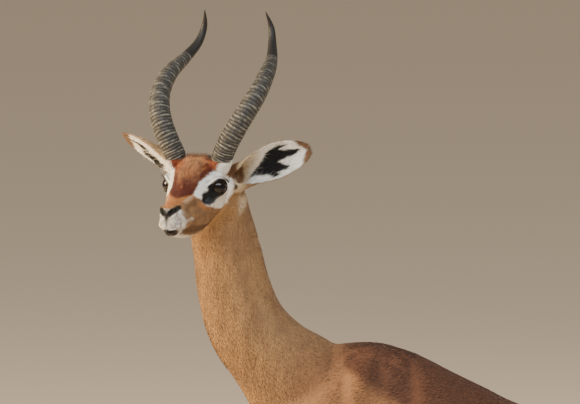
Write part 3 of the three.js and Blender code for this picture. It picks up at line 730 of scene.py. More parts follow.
def body_colour(p):
    rough = (grain(p, 22) - 0.5) * 22 + (grain(p, 6) - 0.5) * 8
    x, y, z = p[:, 0], np.abs(p[:, 1]), p[:, 2]
    c = np.tile(linear(FAWN), (len(p), 1))
    throat = x + 0.42 * (z - 1000) + 262  # small along the throat and the breast
    c = mix(c, FAWN_PALE, 0.7 * step(12 - throat, 60))
    c = mix(c, FAWN_DEEP, 0.5 * step(grain(p, 60) * 60 - 34, 16))
    c = mix(c, FAWN_DEEP, 0.5 * step(grain(p * (1, 1, 0.22), 7) * 10 - 5.4, 2.4))
    c = mix(c, FLANK, step(x + 130, 60) * step(955 - z, 40))
    low_edge = np.interp(x, [-80, -20, 60, 200, 400, 520, 610], [930, 905, 850, 800, 788, 782, 770])
    c = mix(c, SADDLE, step(z - low_edge + rough, 14) * step(x + 78 - (z - 920) * 0.4 + rough * 0.5, 34))
    belly = np.interp(x, [-230, -150, 150, 400, 470], [690, 668, 632, 640, 650])
    reach = np.interp(x, [-60, 10, 400, 450], [68, 99, 99, 62])  # on the legs only the inner side is white
    c = mix(c, WHITE, step(belly - z + rough * 0.5, 9) * step(x + 205, 20) * step(z - 590, 20) *
            step(reach - y + rough * 0.3, 9))
    inner = np.where(x < MIDDLE_X, 71, 69)
    c = mix(c, WHITE, 0.9 * step(inner - y + rough * 0.3, 7) * step(z - 440, 60) * step(700 - z, 30) *
            step(np.abs(x - MIDDLE_X) - 130, 30))
    c = mix(c, WHITE, step(x - 583 + 0.1 * (z - 700) + rough * 0.3, 8) * step(y - 9, 6) * step(z - 640, 20) *
            step(800 - z, 20) * step(64 - y, 14))
    knee = step(36 - np.abs(z - KNEE_Z) + rough * 0.5, 12) * step(-40 - x, 10)
    c = mix(c, UMBER, 0.55 * knee * step(LEG_CUT + 2 - z, 8))
    tail = step(x - 598, 4) * step(11 - y, 3) * step(z - 596, 2)
    c = mix(c, BLACK, tail * step(690 - z + rough, 26))
    low = step(60 - z + rough * 0.3, 16)
    return mix(c, UMBER, 0.5 * low)


def ear_places(h, n):
    """For each ear: how far along and across the leaf a point is, if it faces into the cup, and which ear"""
    found = []
    for side in (LEFT, RIGHT):
        root, along, sideways, opens = (np.array(v) for v in ear_axes(side))
        out = h - root
        t = out @ along / (along @ along)
        out = out - np.stack([t * 0, t * 0, EAR_BOW[side] * np.sin(np.pi * np.clip(t, 0, 1))], 1)
        steps = np.linspace(0, 1, len(EAR_ROLL))
        wide = np.interp(t, steps, EAR_HALF_WIDTH)
        roll = np.radians(np.interp(t, steps, EAR_ROLL))
        bend = wide / np.sin(np.minimum(roll, np.pi / 2))
        depth = EAR_ROOT_DEPTH + (1 - EAR_ROOT_DEPTH) * np.clip(2 * t, 0, 1)
        middle = np.outer(t, along) + np.outer(depth * bend * np.cos(roll), opens)
        inwards = np.sum((middle - out) * n, axis=1) / np.maximum(np.linalg.norm(middle - out, axis=1), 1)
        found.append((t, -side * (out @ sideways) / wide, inwards, side))
    return found


EAR_SPOT = (62, 56, -12)  # the small dark spot before the ear's root


def head_colour(p, n):
    h = in_head(p)
    rough = (grain(p, 9) - 0.5) * 7 + (grain(p, 3.5) - 0.5) * 4 + (grain(p, 1.3) - 0.5) * 6
    ahead, z, y = -h[:, 0], h[:, 2], np.abs(h[:, 1])
    turn = np.degrees(np.arctan2(y, z + 30))

    def patch(outline, ragged, soft):
        return step(inside(ahead, turn, outline) + rough * ragged, soft)

    c = np.tile(linear(FAWN), (len(p), 1))
    c = mix(c, FAWN_PALE, 0.5 * step(turn - 118, 20))
    c = mix(c, CHEEK, step(ahead + 30, 30) * step(turn - 60, 12))
    c = mix(c, FAWN_DEEP, 0.6 * step(grain(p, 16) * 24 - 13, 8))
    c = mix(c, FAWN_PALE, 0.6 * step(grain(p, 4) * 10 - 6.2, 2) * step(ahead + 40, 20))
    behind = step(-56 - ahead, 5)
    temple = behind * step(z + 26 + rough, 12) * step(57 - y + rough * 0.4, 3)
    c = mix(c, CREAM, 0.8 * behind * step(y - 55 + rough * 0.3, 4))
    c = mix(c, TEMPLE, 0.75 * temple)
    c = mix(c, UMBER, 0.8 * temple * step(grain(h * (1, 1, 0.3), 4) * 10 - 5.2 + z * 0.06, 2))
    flat = one_sided(h)
    opening = np.linalg.norm((flat - EAR_SPOT) * (1, 1, 0.6), axis=1)
    c = mix(c, CREAM, 0.7 * step(9 - opening + rough * 0.3, 3))
    c = mix(c, BLACK, 0.9 * step(3.4 - opening, 1.2))
    c = mix(c, NOSE_TAN, step(ahead - 44, 14) * step(66 - turn + rough * 2, 10))
    c = mix(c, NOSE_TAN, 0.7 * patch(SPECTACLE_TAN, 0.7, 3))
    c = mix(c, CREAM, 0.6 * patch(NOSE_SIDE, 1, 5))
    c = mix(c, UMBER, 0.75 * patch(SMUDGE, 1.5, 9))
    c = mix(c, CREAM, 0.45 * patch(LIP_CREAM, 1, 8))
    c = mix(c, WHITE, patch(MUZZLE_WHITE, 0.8, 5))
    c = mix(c, GREY, 0.75 * patch(MUZZLE_GREY, 0, 6) * step(grain(p, 2.4) * 6 - 2.7, 1.4))
    blaze = patch(BLAZE, 0.7, 1.8 + np.clip(ahead - 50, 0, 30) * 0.25)
    c = mix(c, RUFOUS, blaze)
    edge = np.interp(turn, [0, 10, 24, 40], [26, 18, 6, -12])  # the dark red starts further up at the sides
    c = mix(c, MAROON, blaze * step(ahead - edge + rough * 2, 14) * step(84 - ahead + rough, 12))
    middle = step(17 + 0.1 * ahead - turn * 0.9 + rough * 1.4, 8) * step(24 - ahead + rough * 2.4, 24)
    c = mix(c, FOREHEAD, 0.9 * blaze * middle)
    streaks = grain(h * (0.2, 1, 0.5), 2.2)
    c = mix(c, NOSE_TAN, 0.35 * blaze * step(streaks - 0.62, 0.16) * step(z - 8, 20))
    c = mix(c, MAROON, 0.4 * blaze * step(0.44 - streaks, 0.16))
    fringe = step(-20 - ahead + rough, 8) * step(z - 20, 8) * step(30 - y, 6)
    c = mix(c, DUSK, 0.75 * fringe * step(grain(p, 3) - 0.3, 0.3))
    c = mix(c, WHITE, patch(RING_PATCH, 0.5, 2) * (1 - behind * step(y - 51.5 + rough * 0.3, 2)))
    root = np.interp(z, [20, 48], [37, 47])  # the skin that climbs the horn ends in a dull dark rim
    pedicel = step(28 - np.hypot(h[:, 0] - 28, y - root), 3)
    outer = step(y - 57 - ahead * 0.3 + rough * 0.4, 3) * step(z - 22, 6)
    c = mix(c, WHITE, pedicel * outer)
    c = mix(c, DUSK, 0.85 * pedicel * step(z - 42 + rough * 0.4, 2.2))
    c = mix(c, UMBER, 0.85 * patch(JAW_STREAK, 0.8, 3))
    c = mix(c, WHITE, 0.9 * patch(CHIN_WHITE, 0.5, 3))
    c = mix(c, WHITE, 0.6 * patch(LIP_LINE, 0.8, 4))
    # Chin's front under the mouth: the lower lip's dark skin, with painted shadow under the upper lip
    c = mix(c, LIP_DARK_AND_SHADOW, 0.95 * step(ahead - 94, 3) * step(-71 - z + rough * 0.2, 1.5) * step(z + 88, 4))
    c = mix(c, BLACK, patch(GLAND, 0.6, 2.2))
    # Painted sheen: slate on the gland's bare black skin
    c = mix(c, SLATE, 0.85 * patch(GLAND_SHEEN, 0.7, 3.5))
    nostril, lip_cleft, mouth = (groove[0] for groove in GROOVES[:3])
    far, where = line_distance(flat, nostril)
    c = mix(c, SLATE, 0.75 * step(8.5 - np.linalg.norm(flat - (-120, 0, -39), axis=1), 2.5))
    c = mix(c, BLACK, step(5.6 - 1.6 * where**3 - far, 0.8))
    cleft = step(3.2 - line_distance(flat, lip_cleft)[0], 0.9)
    c = mix(c, BLACK, cleft * (0.45 + 0.5 * step(z + 52, 5)))
    far, where = line_distance(flat, mouth)
    c = mix(c, BLACK, step(5.0 - 3.8 * where - far, 0.8))
    for side in (LEFT, RIGHT):
        rear, high, far = eye_angles(h, side)
        share, near = opening_share(rear, high), step(32 - far, 3)
        c = mix(c, GREY, 0.55 * near * step(0.12 - np.abs(share - 1.55), 0.1) * step(high, 0.2))
        c = mix(c, SLATE, 0.95 * near * step(2.08 - share + rough * 0.03, 0.2) * step(-high - 0.02, 0.12))
        c = mix(c, BLACK, 0.75 * near * step(1.62 - share + rough * 0.03, 0.16) * step(-high - 0.02, 0.12))
        c = mix(c, BLACK, near * step(1.24 + 0.14 * np.clip(-4 * high, 0, 1) - share, 0.05))
    for t, across, inwards, side in ear_places(h, n @ np.array(HEAD)[:3, :3]):
        on_ear = step(t - 0.12, 0.03) * step(side * h[:, 1] - 68, 6)
        cup = step(inwards, 0.3) * on_ear
        c = mix(c, CREAM, 0.8 * on_ear * step(t - 0.1, 0.1))
        c = mix(c, FAWN_PALE, 0.4 * on_ear * step(t - 0.3, 0.2))
        c = mix(c, WHITE, cup * step(t - 0.15, 0.05))
        c = mix(c, CREAM, 0.75 * cup * step(0.42 - t, 0.1) * step(0.2 - across, 0.4))
        shaded = on_ear * step(-inwards + 0.1, 0.4) * step(across - 0.55, 0.3) * step(0.42 - t, 0.12)
        c = mix(c, UMBER, 0.5 * shaded)
        rim = on_ear * step(np.abs(across) - 0.97, 0.05) * step(-np.abs(inwards) + 0.5, 0.2)
        c = mix(c, FAWN_DEEP, 0.8 * rim)
        open_side = step(inwards + 0.2, 0.4) * on_ear
        for outline in EAR_DARK[side]:
            drawn = [(a * LEAF_LONG, b * LEAF_WIDE) for a, b in outline]
            black = inside(t * LEAF_LONG, across * LEAF_WIDE, drawn)
            c = mix(c, BLACK, open_side * step(black + rough * 0.3 + EAR_DARK_SPREAD[side], 1.3))
        c = mix(c, FAWN_DEEP, on_ear * step(t - 0.93 + 0.08 * np.abs(across) + rough * 0.004, 0.02))
    return c


def above_neck(h):
    """How far a place in the head's frame lies above where the neck begins"""
    return h[:, 2] - np.interp(h[:, 0], [22, 34, 60, 90, 112], [-150, -92, -78, -52, -40])


def coat_colours(p, n):
    """The coat's colour at each point, as linear red, green and blue"""
    share = step(above_neck(in_head(p)), 7) * (p[:, 2] > NECK_CUT)[:, None]
    return body_colour(p) * (1 - share) + head_colour(p, n) * share


normals = read(skin_mesh, "vertex_normals", "vector")
colours = coat_colours(points, normals)
print("coat colours from", colours.min().round(3), "to", colours.max().round(3))

# %% [markdown]
# ## The lie of the coat
# Hair lies along the body: up the nose and over the forehead, down the neck, back and down over the
# trunk, down the legs, and out along the ears. Each point of the skin gets this direction, pressed
# flat onto the surface. The tufts and the grain in the material both follow it.

# %% Directions of the hair
def lies(p, n):
    h = in_head(p)
    turn = np.array(HEAD)[:3, :3]
    x, z = p[:, 0], p[:, 2]
    way = np.tile(np.array((0.85, 0, -0.53)), (len(p), 1))
    neck = step(-x - 110, 60) * step(z - 860, 40)
    way = way * (1 - neck) + np.array((0.35, 0, -0.94)) * neck
    leg = step(640 - z, 60)
    way = way * (1 - leg) + np.array((0.05, 0, -1)) * leg
    rump = step(x - 560, 20) * step(z - 600, 40)
    way = way * (1 - rump) + np.array((0.1, 0, -1)) * rump
    on_head = step(above_neck(h), 14) * (z > NECK_CUT)[:, None]
    back = np.stack([np.full(len(p), 1.0), h[:, 1] * 0.006, -0.15 - 0.006 * np.abs(h[:, 1])], 1)
    way = way * (1 - on_head) + back @ turn.T * on_head
    for t, _, _, side in ear_places(h, n):
        along = np.array(ear_axes(side)[1]) / ear_axes(side)[1].length
        share = step(t - 0.08, 0.06) * step(side * h[:, 1] - 60, 8)
        way = way * (1 - share) + along @ turn.T * share
    way = way - n * np.sum(way * n, axis=1)[:, None]
    return way / np.maximum(np.linalg.norm(way, axis=1), 1e-6)[:, None]


directions = lies(points, normals)


def store(mesh, name, kind, values):
    layer = mesh.attributes.new(name, kind, "POINT")
    if kind == "FLOAT_COLOR":
        values = np.hstack([values, np.ones((len(values), 1))])
        layer.data.foreach_set("color", values.astype(np.float32).ravel())
    else:
        layer.data.foreach_set("vector", values.astype(np.float32).ravel())


store(skin_mesh, "coat_colour", "FLOAT_COLOR", colours)
store(skin_mesh, "lie", "FLOAT_VECTOR", directions)
print("points with a direction:", len(directions))

# %% [markdown]
# ## The coat's material
# Short fur reads as fine streaks, lighter and darker, that run with the hair. Three noise textures
# are stretched along x, y and z. The direction of the hair says how much of each is used, so the
# streaks turn with the body. The same grain moves the colour a little and raises the surface.

# %% Node helpers and the coat
def material(name, rough, specular=0.5):
    made = bpy.data.materials.new(name)
    made.use_nodes = True
    shader = made.node_tree.nodes["Principled BSDF"]
    shader.inputs["Roughness"].default_value = rough
    shader.inputs["Specular IOR Level"].default_value = specular
    return made, made.node_tree, shader


def add(tree, kind, inputs=(), **settings):
    """A new node with its settings, whose inputs are values or the outputs of other nodes"""
    made = tree.nodes.new(kind)
    for name, value in settings.items():
        setattr(made, name, value)
    for name, value in dict(inputs).items():
        if isinstance(value, bpy.types.NodeSocket):
            tree.links.new(value, made.inputs[name])
        else:
            made.inputs[name].default_value = value
    return made


def blend(tree, share, first, second, how="MIX"):
    made = add(tree, "ShaderNodeMix", {0: share, 6: first, 7: second}, data_type="RGBA", blend_type=how)
    return made.outputs[2]


def maths(tree, operation, a, b=0.0, c=0.0):
    return add(tree, "ShaderNodeMath", {0: a, 1: b, 2: c}, operation=operation).outputs[0]


def noise(tree, where, scale, detail=2.0, stretch=(1, 1, 1)):
    stretched = add(tree, "ShaderNodeMapping", {"Vector": where, "Scale": stretch}).outputs[0]
    made = add(tree, "ShaderNodeTexNoise", {"Vector": stretched, "Scale": scale, "Detail": detail})
    return made.outputs["Fac"]


def hair_grain(tree, where, scale, longer):
    lie = add(tree, "ShaderNodeAttribute", attribute_name="lie").outputs["Vector"]
    parts = add(tree, "ShaderNodeSeparateXYZ", {0: lie}).outputs
    total = None
    for axis in range(3):
        stretch = [1, 1, 1]
        stretch[axis] = 1 / longer
        strength = maths(tree, "MULTIPLY", parts[axis], parts[axis])
        streak = maths(tree, "MULTIPLY", noise(tree, where, scale, 3, stretch), strength)
        total = streak if total is None else maths(tree, "ADD", total, streak)
    return total


def lifted(tree, shader, height, strength, distance):
    bump = add(tree, "ShaderNodeBump", {"Height": height, "Strength": strength, "Distance": distance})
    tree.links.new(bump.outputs[0], shader.inputs["Normal"])


def toned(tree, colour, amount):
    """A colour made lighter or darker by an amount around 1"""
    shade = add(tree, "ShaderNodeCombineColor", {0: amount, 1: amount, 2: amount}).outputs[0]
    return blend(tree, 1.0, colour, shade, "MULTIPLY")


def coat_material():
    made, tree, shader = material("short_coat", 0.72, 0.25)
    where = add(tree, "ShaderNodeTexCoord").outputs["Object"]
    painted = add(tree, "ShaderNodeAttribute", attribute_name="coat_colour").outputs["Color"]
    fine = hair_grain(tree, where, 620, 4)
    broad = hair_grain(tree, where, 190, 3)
    amount = maths(tree, "MULTIPLY_ADD", fine, 0.9, 0.55)
    amount = maths(tree, "MULTIPLY", amount, maths(tree, "MULTIPLY_ADD", broad, 0.5, 0.75))
    tree.links.new(toned(tree, painted, amount), shader.inputs["Base Color"])
    shader.inputs["Sheen Weight"].default_value = 0.12
    shader.inputs["Sheen Roughness"].default_value = 0.4
    lifted(tree, shader, maths(tree, "ADD", fine, maths(tree, "MULTIPLY", broad, 1.5)), 0.55, 0.0012)
    return made


COAT = coat_material()
print("coat material has", len(COAT.node_tree.nodes), "nodes")

# %% [markdown]
# ## Setting pieces in place
# Each finished mesh is moved from millimetres on the animal to metres in the frame. The object
# itself stays at the origin. It rides on the body and stands for its solids.

# %% The skin takes its place
FLESH = ["torso", "neck_lower", "neck_upper", "head", "tail", "ear_left", "ear_right"]
FLESH += [f"{end}_{side}_{part}" for end in ("foreleg", "hindleg") for side in ("left", "right")
          for part in ("upper", "lower")]


def placed(name, mesh, look, stands_for=()):
    mesh.transform(TO_FRAME)
    mesh.materials.append(look)
    mesh.polygons.foreach_set("use_smooth", [True] * len(mesh.polygons))
    mesh.update()
    piece = bpy.data.objects.new(name, mesh)
    scene.collection.objects.link(piece)
    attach(piece, "root")
    if stands_for:
        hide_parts(*stands_for)
    return piece


skin = placed("skin", skin_mesh, COAT, FLESH)
print("skin stands for", len(FLESH), "solids")

# %% [markdown]
# ## The coat
# A gerenuk's hair is short, glossy and flat, so most of it is the grain of the skin's material. On
# the outline and wherever light grazes, though, single locks show. Each tuft is a thin pointed
# wedge of four triangles, rooted under the skin and laid along the hair's direction. A particle
# system would be lost on export, so arrays hold all the tufts of a region, joined as one mesh.

# %% Roots of the tufts
def unwrapped(piece):
    """Unwraps the skin's own shape, so that each tuft can keep its root's place on it"""
    bpy.context.view_layer.objects.active = piece
    piece.select_set(True)
    bpy.ops.object.mode_set(mode="EDIT")
    bpy.ops.mesh.select_all(action="SELECT")
    bpy.ops.uv.smart_project(angle_limit=math.radians(66), island_margin=0.001)
    bpy.ops.object.mode_set(mode="OBJECT")
    piece.select_set(False)
    made = np.empty(len(piece.data.loops) * 2, np.float32)
    piece.data.uv_layers.active.data.foreach_get("uv", made)
    return made.reshape(-1, 2)


skin_uv = unwrapped(skin)
skin_mesh.calc_loop_triangles()
corners = read(skin_mesh, "loop_triangles", "vertices").astype(int)
corner_loops = read(skin_mesh, "loop_triangles", "loops").astype(int)
areas = 0.5 * np.linalg.norm(np.cross(points[corners[:, 1]] - points[corners[:, 0]],
                                      points[corners[:, 2]] - points[corners[:, 0]]), axis=1)
print("skin area:", round(areas.sum() / 1e6, 2), "square metres")


def roots(where, spacing, seed):
    """Evenly scattered places on the chosen triangles of the skin: place, normal, direction, unwrap"""
    draw = np.random.default_rng(seed)
    chosen = np.flatnonzero(where)
    count = int(areas[chosen].sum() / spacing**2 * 3)
    picked = draw.choice(chosen, count, p=areas[chosen] / areas[chosen].sum())
    a, b = draw.random((2, count))
    a, b = np.where(a + b > 1, 1 - a, a), np.where(a + b > 1, 1 - b, b)
    share = np.stack([1 - a - b, a, b], 1)[:, :, None]
    place = np.sum(points[corners[picked]] * share, axis=1)
    cells = np.floor(place / spacing).astype(int)
    _, first = np.unique(cells, axis=0, return_index=True)
    first = np.sort(first)
    picked, share = picked[first], share[first]
    normal = np.sum(normals[corners[picked]] * share, axis=1)
    lie = np.sum(directions[corners[picked]] * share, axis=1)
    uv = np.sum(skin_uv[corner_loops[picked]] * share, axis=1)
    normal /= np.linalg.norm(normal, axis=1)[:, None]
    lie -= normal * np.sum(lie * normal, axis=1)[:, None]
    lie /= np.maximum(np.linalg.norm(lie, axis=1), 1e-6)[:, None]
    return place[first], normal, lie, uv


# %% [markdown]
# The root of a tuft is a small triangle: left, right and top. Its tip lies further along the hair
# and a little higher. Length, width, turn and shade vary by a seeded draw. Each tuft's patch in the
# unwrap is tiny and lies at its root, so that its colour is that of the skin under it.

# %% Grow the tufts
PATCH = 0.0015  # half the width of a tuft's patch in the unwrap
ROOT_DEPTH = 0.35  # a root lies this far under the skin
TUFT_SHADES = np.array([0.86, 0.86, 1.0, 1.08])[None, :, None]  # of left, right, top and tip
TUFT_FACES = np.array([(0, 1, 2), (1, 3, 2), (3, 0, 2), (1, 0, 3)])
TUFT_PATCH = PATCH * np.array([(-1, -1), (1, -1), (0, 0), (0, 1)])[None]


def grown(name, rooted, length, width, lift, spread, shades, slot, seed, colour=None):
    place, normal, lie, uv = rooted
    draw = np.random.default_rng(seed + 1)
    n = len(place)
    long = length * (0.7 + 0.6 * draw.random((n, 1)))
    lie = lie + np.cross(normal, lie) * spread * draw.normal(size=(n, 1))
    lie /= np.linalg.norm(lie, axis=1)[:, None]
    side = np.cross(normal, lie) * width / 2 * (0.75 + 0.5 * draw.random((n, 1)))
    sunk = place - normal * ROOT_DEPTH
    tip = place + lie * long + normal * (lift * long * (0.5 + draw.random((n, 1))))
    top = place + normal * (0.2 + 0.25 * width) + lie * long * 0.2
    verts = np.stack([sunk - side, sunk + side, top, tip], 1)
    faces = (TUFT_FACES + 4 * np.arange(n)[:, None, None]).reshape(-1, 3)
    mesh = bpy.data.meshes.new(name)
    mesh.vertices.add(4 * n)
    mesh.vertices.foreach_set("co", verts.astype(np.float32).ravel())
    mesh.loops.add(12 * n)
    mesh.loops.foreach_set("vertex_index", faces.ravel())
    mesh.polygons.add(4 * n)
    mesh.polygons.foreach_set("loop_start", np.arange(0, 12 * n, 3))
    mesh.polygons.foreach_set("loop_total", np.full(4 * n, 3))
    mesh.update(calc_edges=True)
    base = coat_colours(place, normal) if colour is None else np.tile(linear(colour), (n, 1))
    shade = (1 + shades * (draw.random((n, 1)) - 0.5))[:, :, None] * TUFT_SHADES
    store(mesh, "coat_colour", "FLOAT_COLOR", (base[:, None, :] * shade).reshape(-1, 3))
    store(mesh, "lie", "FLOAT_VECTOR", np.repeat(lie, 4, axis=0))
    patch = uv[:, None, :] + TUFT_PATCH
    layer = mesh.uv_layers.new(name="OFBake")
    layer.data.foreach_set("uv", patch.reshape(-1, 2)[faces.ravel()].astype(np.float32).ravel())
    placed(name, mesh, COAT)
    print(f"{name}: {n} tufts, {4 * n} triangles")


def grow_all(rows, seed):
    """Rows hold name, triangles to grow on, spacing, length, width, lift, spread, shades and slot; the slot
    is not used
    """
    for number, (name, where, spacing, *look) in enumerate(rows, seed):
        grown(name, roots(where, spacing, number), *look, number)


EAR_BEGINS, FACE_ENDS = 62, -40  # across and along the head
NECK_ENDS, RUMP_BEGINS = -90, 150  # along the body
LEG_BEGINS, TRUNK_ENDS = 600, 1200  # heights
skin_to_mm = points[corners].mean(axis=1)
mid_head = in_head(skin_to_mm)
along, across, high = skin_to_mm[:, 0], np.abs(skin_to_mm[:, 1]), skin_to_mm[:, 2]
wet = np.zeros(len(corners), bool)
for side in (LEFT, RIGHT):
    rear, up, far = eye_angles(mid_head, side)
    wet |= (opening_share(rear, up) < 1.16) & (far < EYE_REACH)
for line, width, _ in GROOVES[:4]:
    wet |= line_distance(one_sided(mid_head), line)[0] < width * 0.8
on_head = (above_neck(mid_head) > 0) & (high > NECK_CUT) & ~wet
on_ear = on_head & (np.abs(mid_head[:, 1]) > EAR_BEGINS)
on_face = on_head & ~on_ear & (mid_head[:, 0] < FACE_ENDS)
on_brow = on_head & ~on_ear & ~on_face
on_neck = (high > 880 - 0.75 * (along + 150)) & ~(above_neck(mid_head) > 0) & (along < NECK_ENDS)
on_leg = ~on_neck & ~on_head & (high < LEG_BEGINS)
on_trunk = ~on_neck & ~on_head & ~on_leg & (high < TRUNK_ENDS)
grow_all([
    ("coat_face", on_face, 1.35, 3.4, 0.5, 0.07, 0.22, 0.7, "coat"),
    ("coat_brow", on_brow, 1.6, 4.6, 0.55, 0.07, 0.22, 0.7, "coat"),
    ("coat_ears", on_ear, 1.9, 6.5, 0.6, 0.10, 0.22, 0.36, "ear_hair"),
    ("coat_neck", on_neck, 2.1, 6.5, 0.6, 0.035, 0.22, 0.5, "coat"),
    ("coat_shoulders", on_trunk & (along < RUMP_BEGINS), 2.9, 9, 0.85, 0.035, 0.22, 0.45, "coat"),
    ("coat_rump", on_trunk & (along >= RUMP_BEGINS), 2.9, 9, 0.85, 0.035, 0.22, 0.45, "saddle_coat"),
    ("coat_legs", on_leg, 3.0, 6.5, 0.8, 0.04, 0.22, 0.4, "coat"),
], 11)

# %% [markdown]
# ## Longer hair
# Some hair breaks the outline more: the lock between the horns, the fringe inside each ear, the ridge
# of the withers and the small dark tufts on the knees. They are grown in the same way, only longer.
# Eyelashes stand along the rim of the upper lid, so their roots are taken from its almond curve.

# %% Grow the longer hair
middle_x, middle_y, middle_z = mid_head.T
crown = on_brow & (middle_z > 30) & (np.abs(middle_y) < 30) & (middle_x > 14) & (middle_x < 62)
rims_of_ears = np.zeros(len(corners), bool)
for t, off, _, side in ear_places(mid_head, np.zeros((1, 3))):
    rims_of_ears |= (t > 0.14) & (t < 0.72) & (np.abs(off) < 1.2) & (middle_y * side > 60)
withers = on_trunk & (high > 920) & (across < 24) & (along < 60)
knees = on_leg & (np.abs(high - 378) < 26) & (along < 0)
grow_all([
    ("hair_crown", crown, 1.5, 9, 0.6, 0.35, 0.22, 0.7, "coat"),
    ("hair_ears", on_ear & rims_of_ears, 3.4, 13, 0.55, 0.16, 0.5, 0.36, "ear_hair"),
    ("hair_withers", withers, 2.6, 15, 0.8, 0.07, 0.22, 0.5, "coat"),
    ("hair_knees", knees, 2.4, 13, 0.8, 0.12, 0.22, 0.5, "coat"),
], 21)


def unwrap_near(place, choice):
    """The unwrap at the chosen triangle of the skin that lies nearest to each place"""
    nearest = [choice[np.argmin(np.linalg.norm(skin_to_mm[choice] - spot, axis=1))] for spot in place]
    return skin_uv[corner_loops[nearest, 0]]


LASHES = 42  # on each upper lid


def lash_roots():
    found = []
    for side in (LEFT, RIGHT):
        _, back, up = gaze_axes(side)
        for angle in np.linspace(math.radians(12), math.radians(150), LASHES):
            place = on_lid(side, angle, LID_RADIUS + 0.4, 1.04)
            out = (place - on_side(EYE, side)).normalized()
            way = (out * 0.8 + up * 0.15 + back * 0.5 * math.cos(angle)).normalized()
            found.append([HEAD @ place, HEAD.to_3x3() @ up, HEAD.to_3x3() @ way])
    place, normal, lie = (np.array([[*row[k]] for row in found]) for k in range(3))
    return place, normal, lie, unwrap_near(place, np.flatnonzero(on_brow | wet))


grown("eyelashes", lash_roots(), 8, 0.6, 0.02, 0.12, 0.36, "coat", 25, BLACK)

# %% [markdown]
# ## The tail's brush
# The tail ends in a tassel of black hair. A slim spindle carries it on below the tail's tip, and
# hairs rooted on it hang straight down. The lower ones are kept closer in, so that the brush
# narrows to a point.

# %% Grow the tail's brush
BRUSH = [(634, 0, 650, 6, 6, 6), (633, 0, 610, 8, 8, 8), (632, 0, 570, 7, 7, 7), (631, 0, 535, 2, 2, 2)]
BRUSH_HAIRS, BRUSH_LENGTH = 3200, 46
spindle = bmesh.new()
loft(spindle, BRUSH, around=20, along=24, caps=(0.1, 0.3))
brush_mesh = as_mesh(spindle, "tail_core")
count = len(brush_mesh.vertices)
store(brush_mesh, "coat_colour", "FLOAT_COLOR", np.tile(linear(BLACK), (count, 1)))
store(brush_mesh, "lie", "FLOAT_VECTOR", np.tile((0.0, 0.0, -1.0), (count, 1)))
placed("tail_core", brush_mesh, COAT, ["tail_tuft"])

draw = np.random.default_rng(31)
rows = smooth_rows(BRUSH, 40)[(draw.random(BRUSH_HAIRS) ** 1.2 * 37).astype(int)]
about = draw.random(BRUSH_HAIRS) * 2 * math.pi
out = np.stack([np.cos(about), np.sin(about), np.zeros(BRUSH_HAIRS)], 1)
place = rows[:, :3] + out * rows[:, 3:4] * 0.9
place[:, 2] += 3 * draw.normal(size=BRUSH_HAIRS)
hang = out * (0.02 + 0.1 * draw.random((BRUSH_HAIRS, 1))) + (0.0, 0.0, -1.0)
tail_tip = np.flatnonzero((along > 600) & (high < 700) & (across < 20))
grown("tail_locks", (place, out, hang, unwrap_near(place, tail_tip)), BRUSH_LENGTH, 1.1, 0.02, 0.1, 0.8,
      "tail_hair", 32, BLACK)

# %% [markdown]
# ## Eyes
# An antelope's eye is a dark ball with a clear dome over the iris. A sphere is made with its pole
# where the eye looks, and the cap round the pole is raised as the dome. The pupil is a level slot.
# The colours follow the angle from the pole, which is stored on the points.

# %% Model the eyes
def eye_material():
    made, tree, shader = material("wet_eye", 0.05)
    shader.inputs["IOR"].default_value = 1.36  # of a wet cornea
    place = add(tree, "ShaderNodeAttribute", attribute_name="eye_place").outputs["Vector"]
    across, up, off = add(tree, "ShaderNodeSeparateXYZ", {0: place}).outputs
    spokes = noise(tree, place, 9, 3, (1, 3, 1))
    slot = maths(tree, "ADD", maths(tree, "POWER", maths(tree, "MULTIPLY", across, 2.3), 2.0),
                 maths(tree, "POWER", maths(tree, "MULTIPLY", up, 4.4), 2.0))
    pupil = add(tree, "ShaderNodeMapRange", {0: slot, 1: 0.85, 2: 1.15}).outputs[0]
    outside = add(tree, "ShaderNodeMapRange", {0: off, 1: 0.86, 2: 0.98}).outputs[0]
    iris = blend(tree, spokes, (0.005, 0.003, 0.002, 1), (0.018, 0.008, 0.004, 1))
    inner = blend(tree, pupil, (0.003, 0.003, 0.005, 1), iris)
    whole = blend(tree, outside, inner, (0.006, 0.004, 0.004, 1))
    tree.links.new(whole, shader.inputs["Base Color"])
    return made


WET = eye_material()
DOME_ANGLE, DOME_HEIGHT = math.radians(46), 1.1
LID_GAP = 0.4  # between an eyeball and the lids
for side, name in ((LEFT, "left"), (RIGHT, "right")):
    ball = bmesh.new()
    bmesh.ops.create_uvsphere(ball, u_segments=64, v_segments=48, radius=1)
    place = []
    for v in ball.verts:
        off = math.acos(max(-1, min(1, v.co.z)))
        dome = max(0, math.cos(min(off / DOME_ANGLE, 1) * math.pi / 2)) ** 1.3
        place.append((v.co.x, v.co.y, off))
        v.co *= EYE_RADIUS - LID_GAP + DOME_HEIGHT * dome
    ahead = gaze_axes(side)[0]
    level = Vector((GAZE.y, side * -GAZE.x, 0)).normalized()
    turn = Matrix((level, ahead.cross(level), ahead)).transposed().to_4x4()
    if turn.determinant() < 0:
        turn = Matrix((-level, ahead.cross(-level), ahead)).transposed().to_4x4()
    bmesh.ops.transform(ball, matrix=HEAD @ Matrix.Translation(on_side(EYE, side)) @ turn, verts=ball.verts)
    mesh = as_mesh(ball, f"eyeball_{name}")
    store(mesh, "eye_place", "FLOAT_VECTOR", np.array(place))
    placed(f"eyeball_{name}", mesh, WET, [f"eye_{name}"])
print("eyes of", 2 * EYE_RADIUS, "mm")
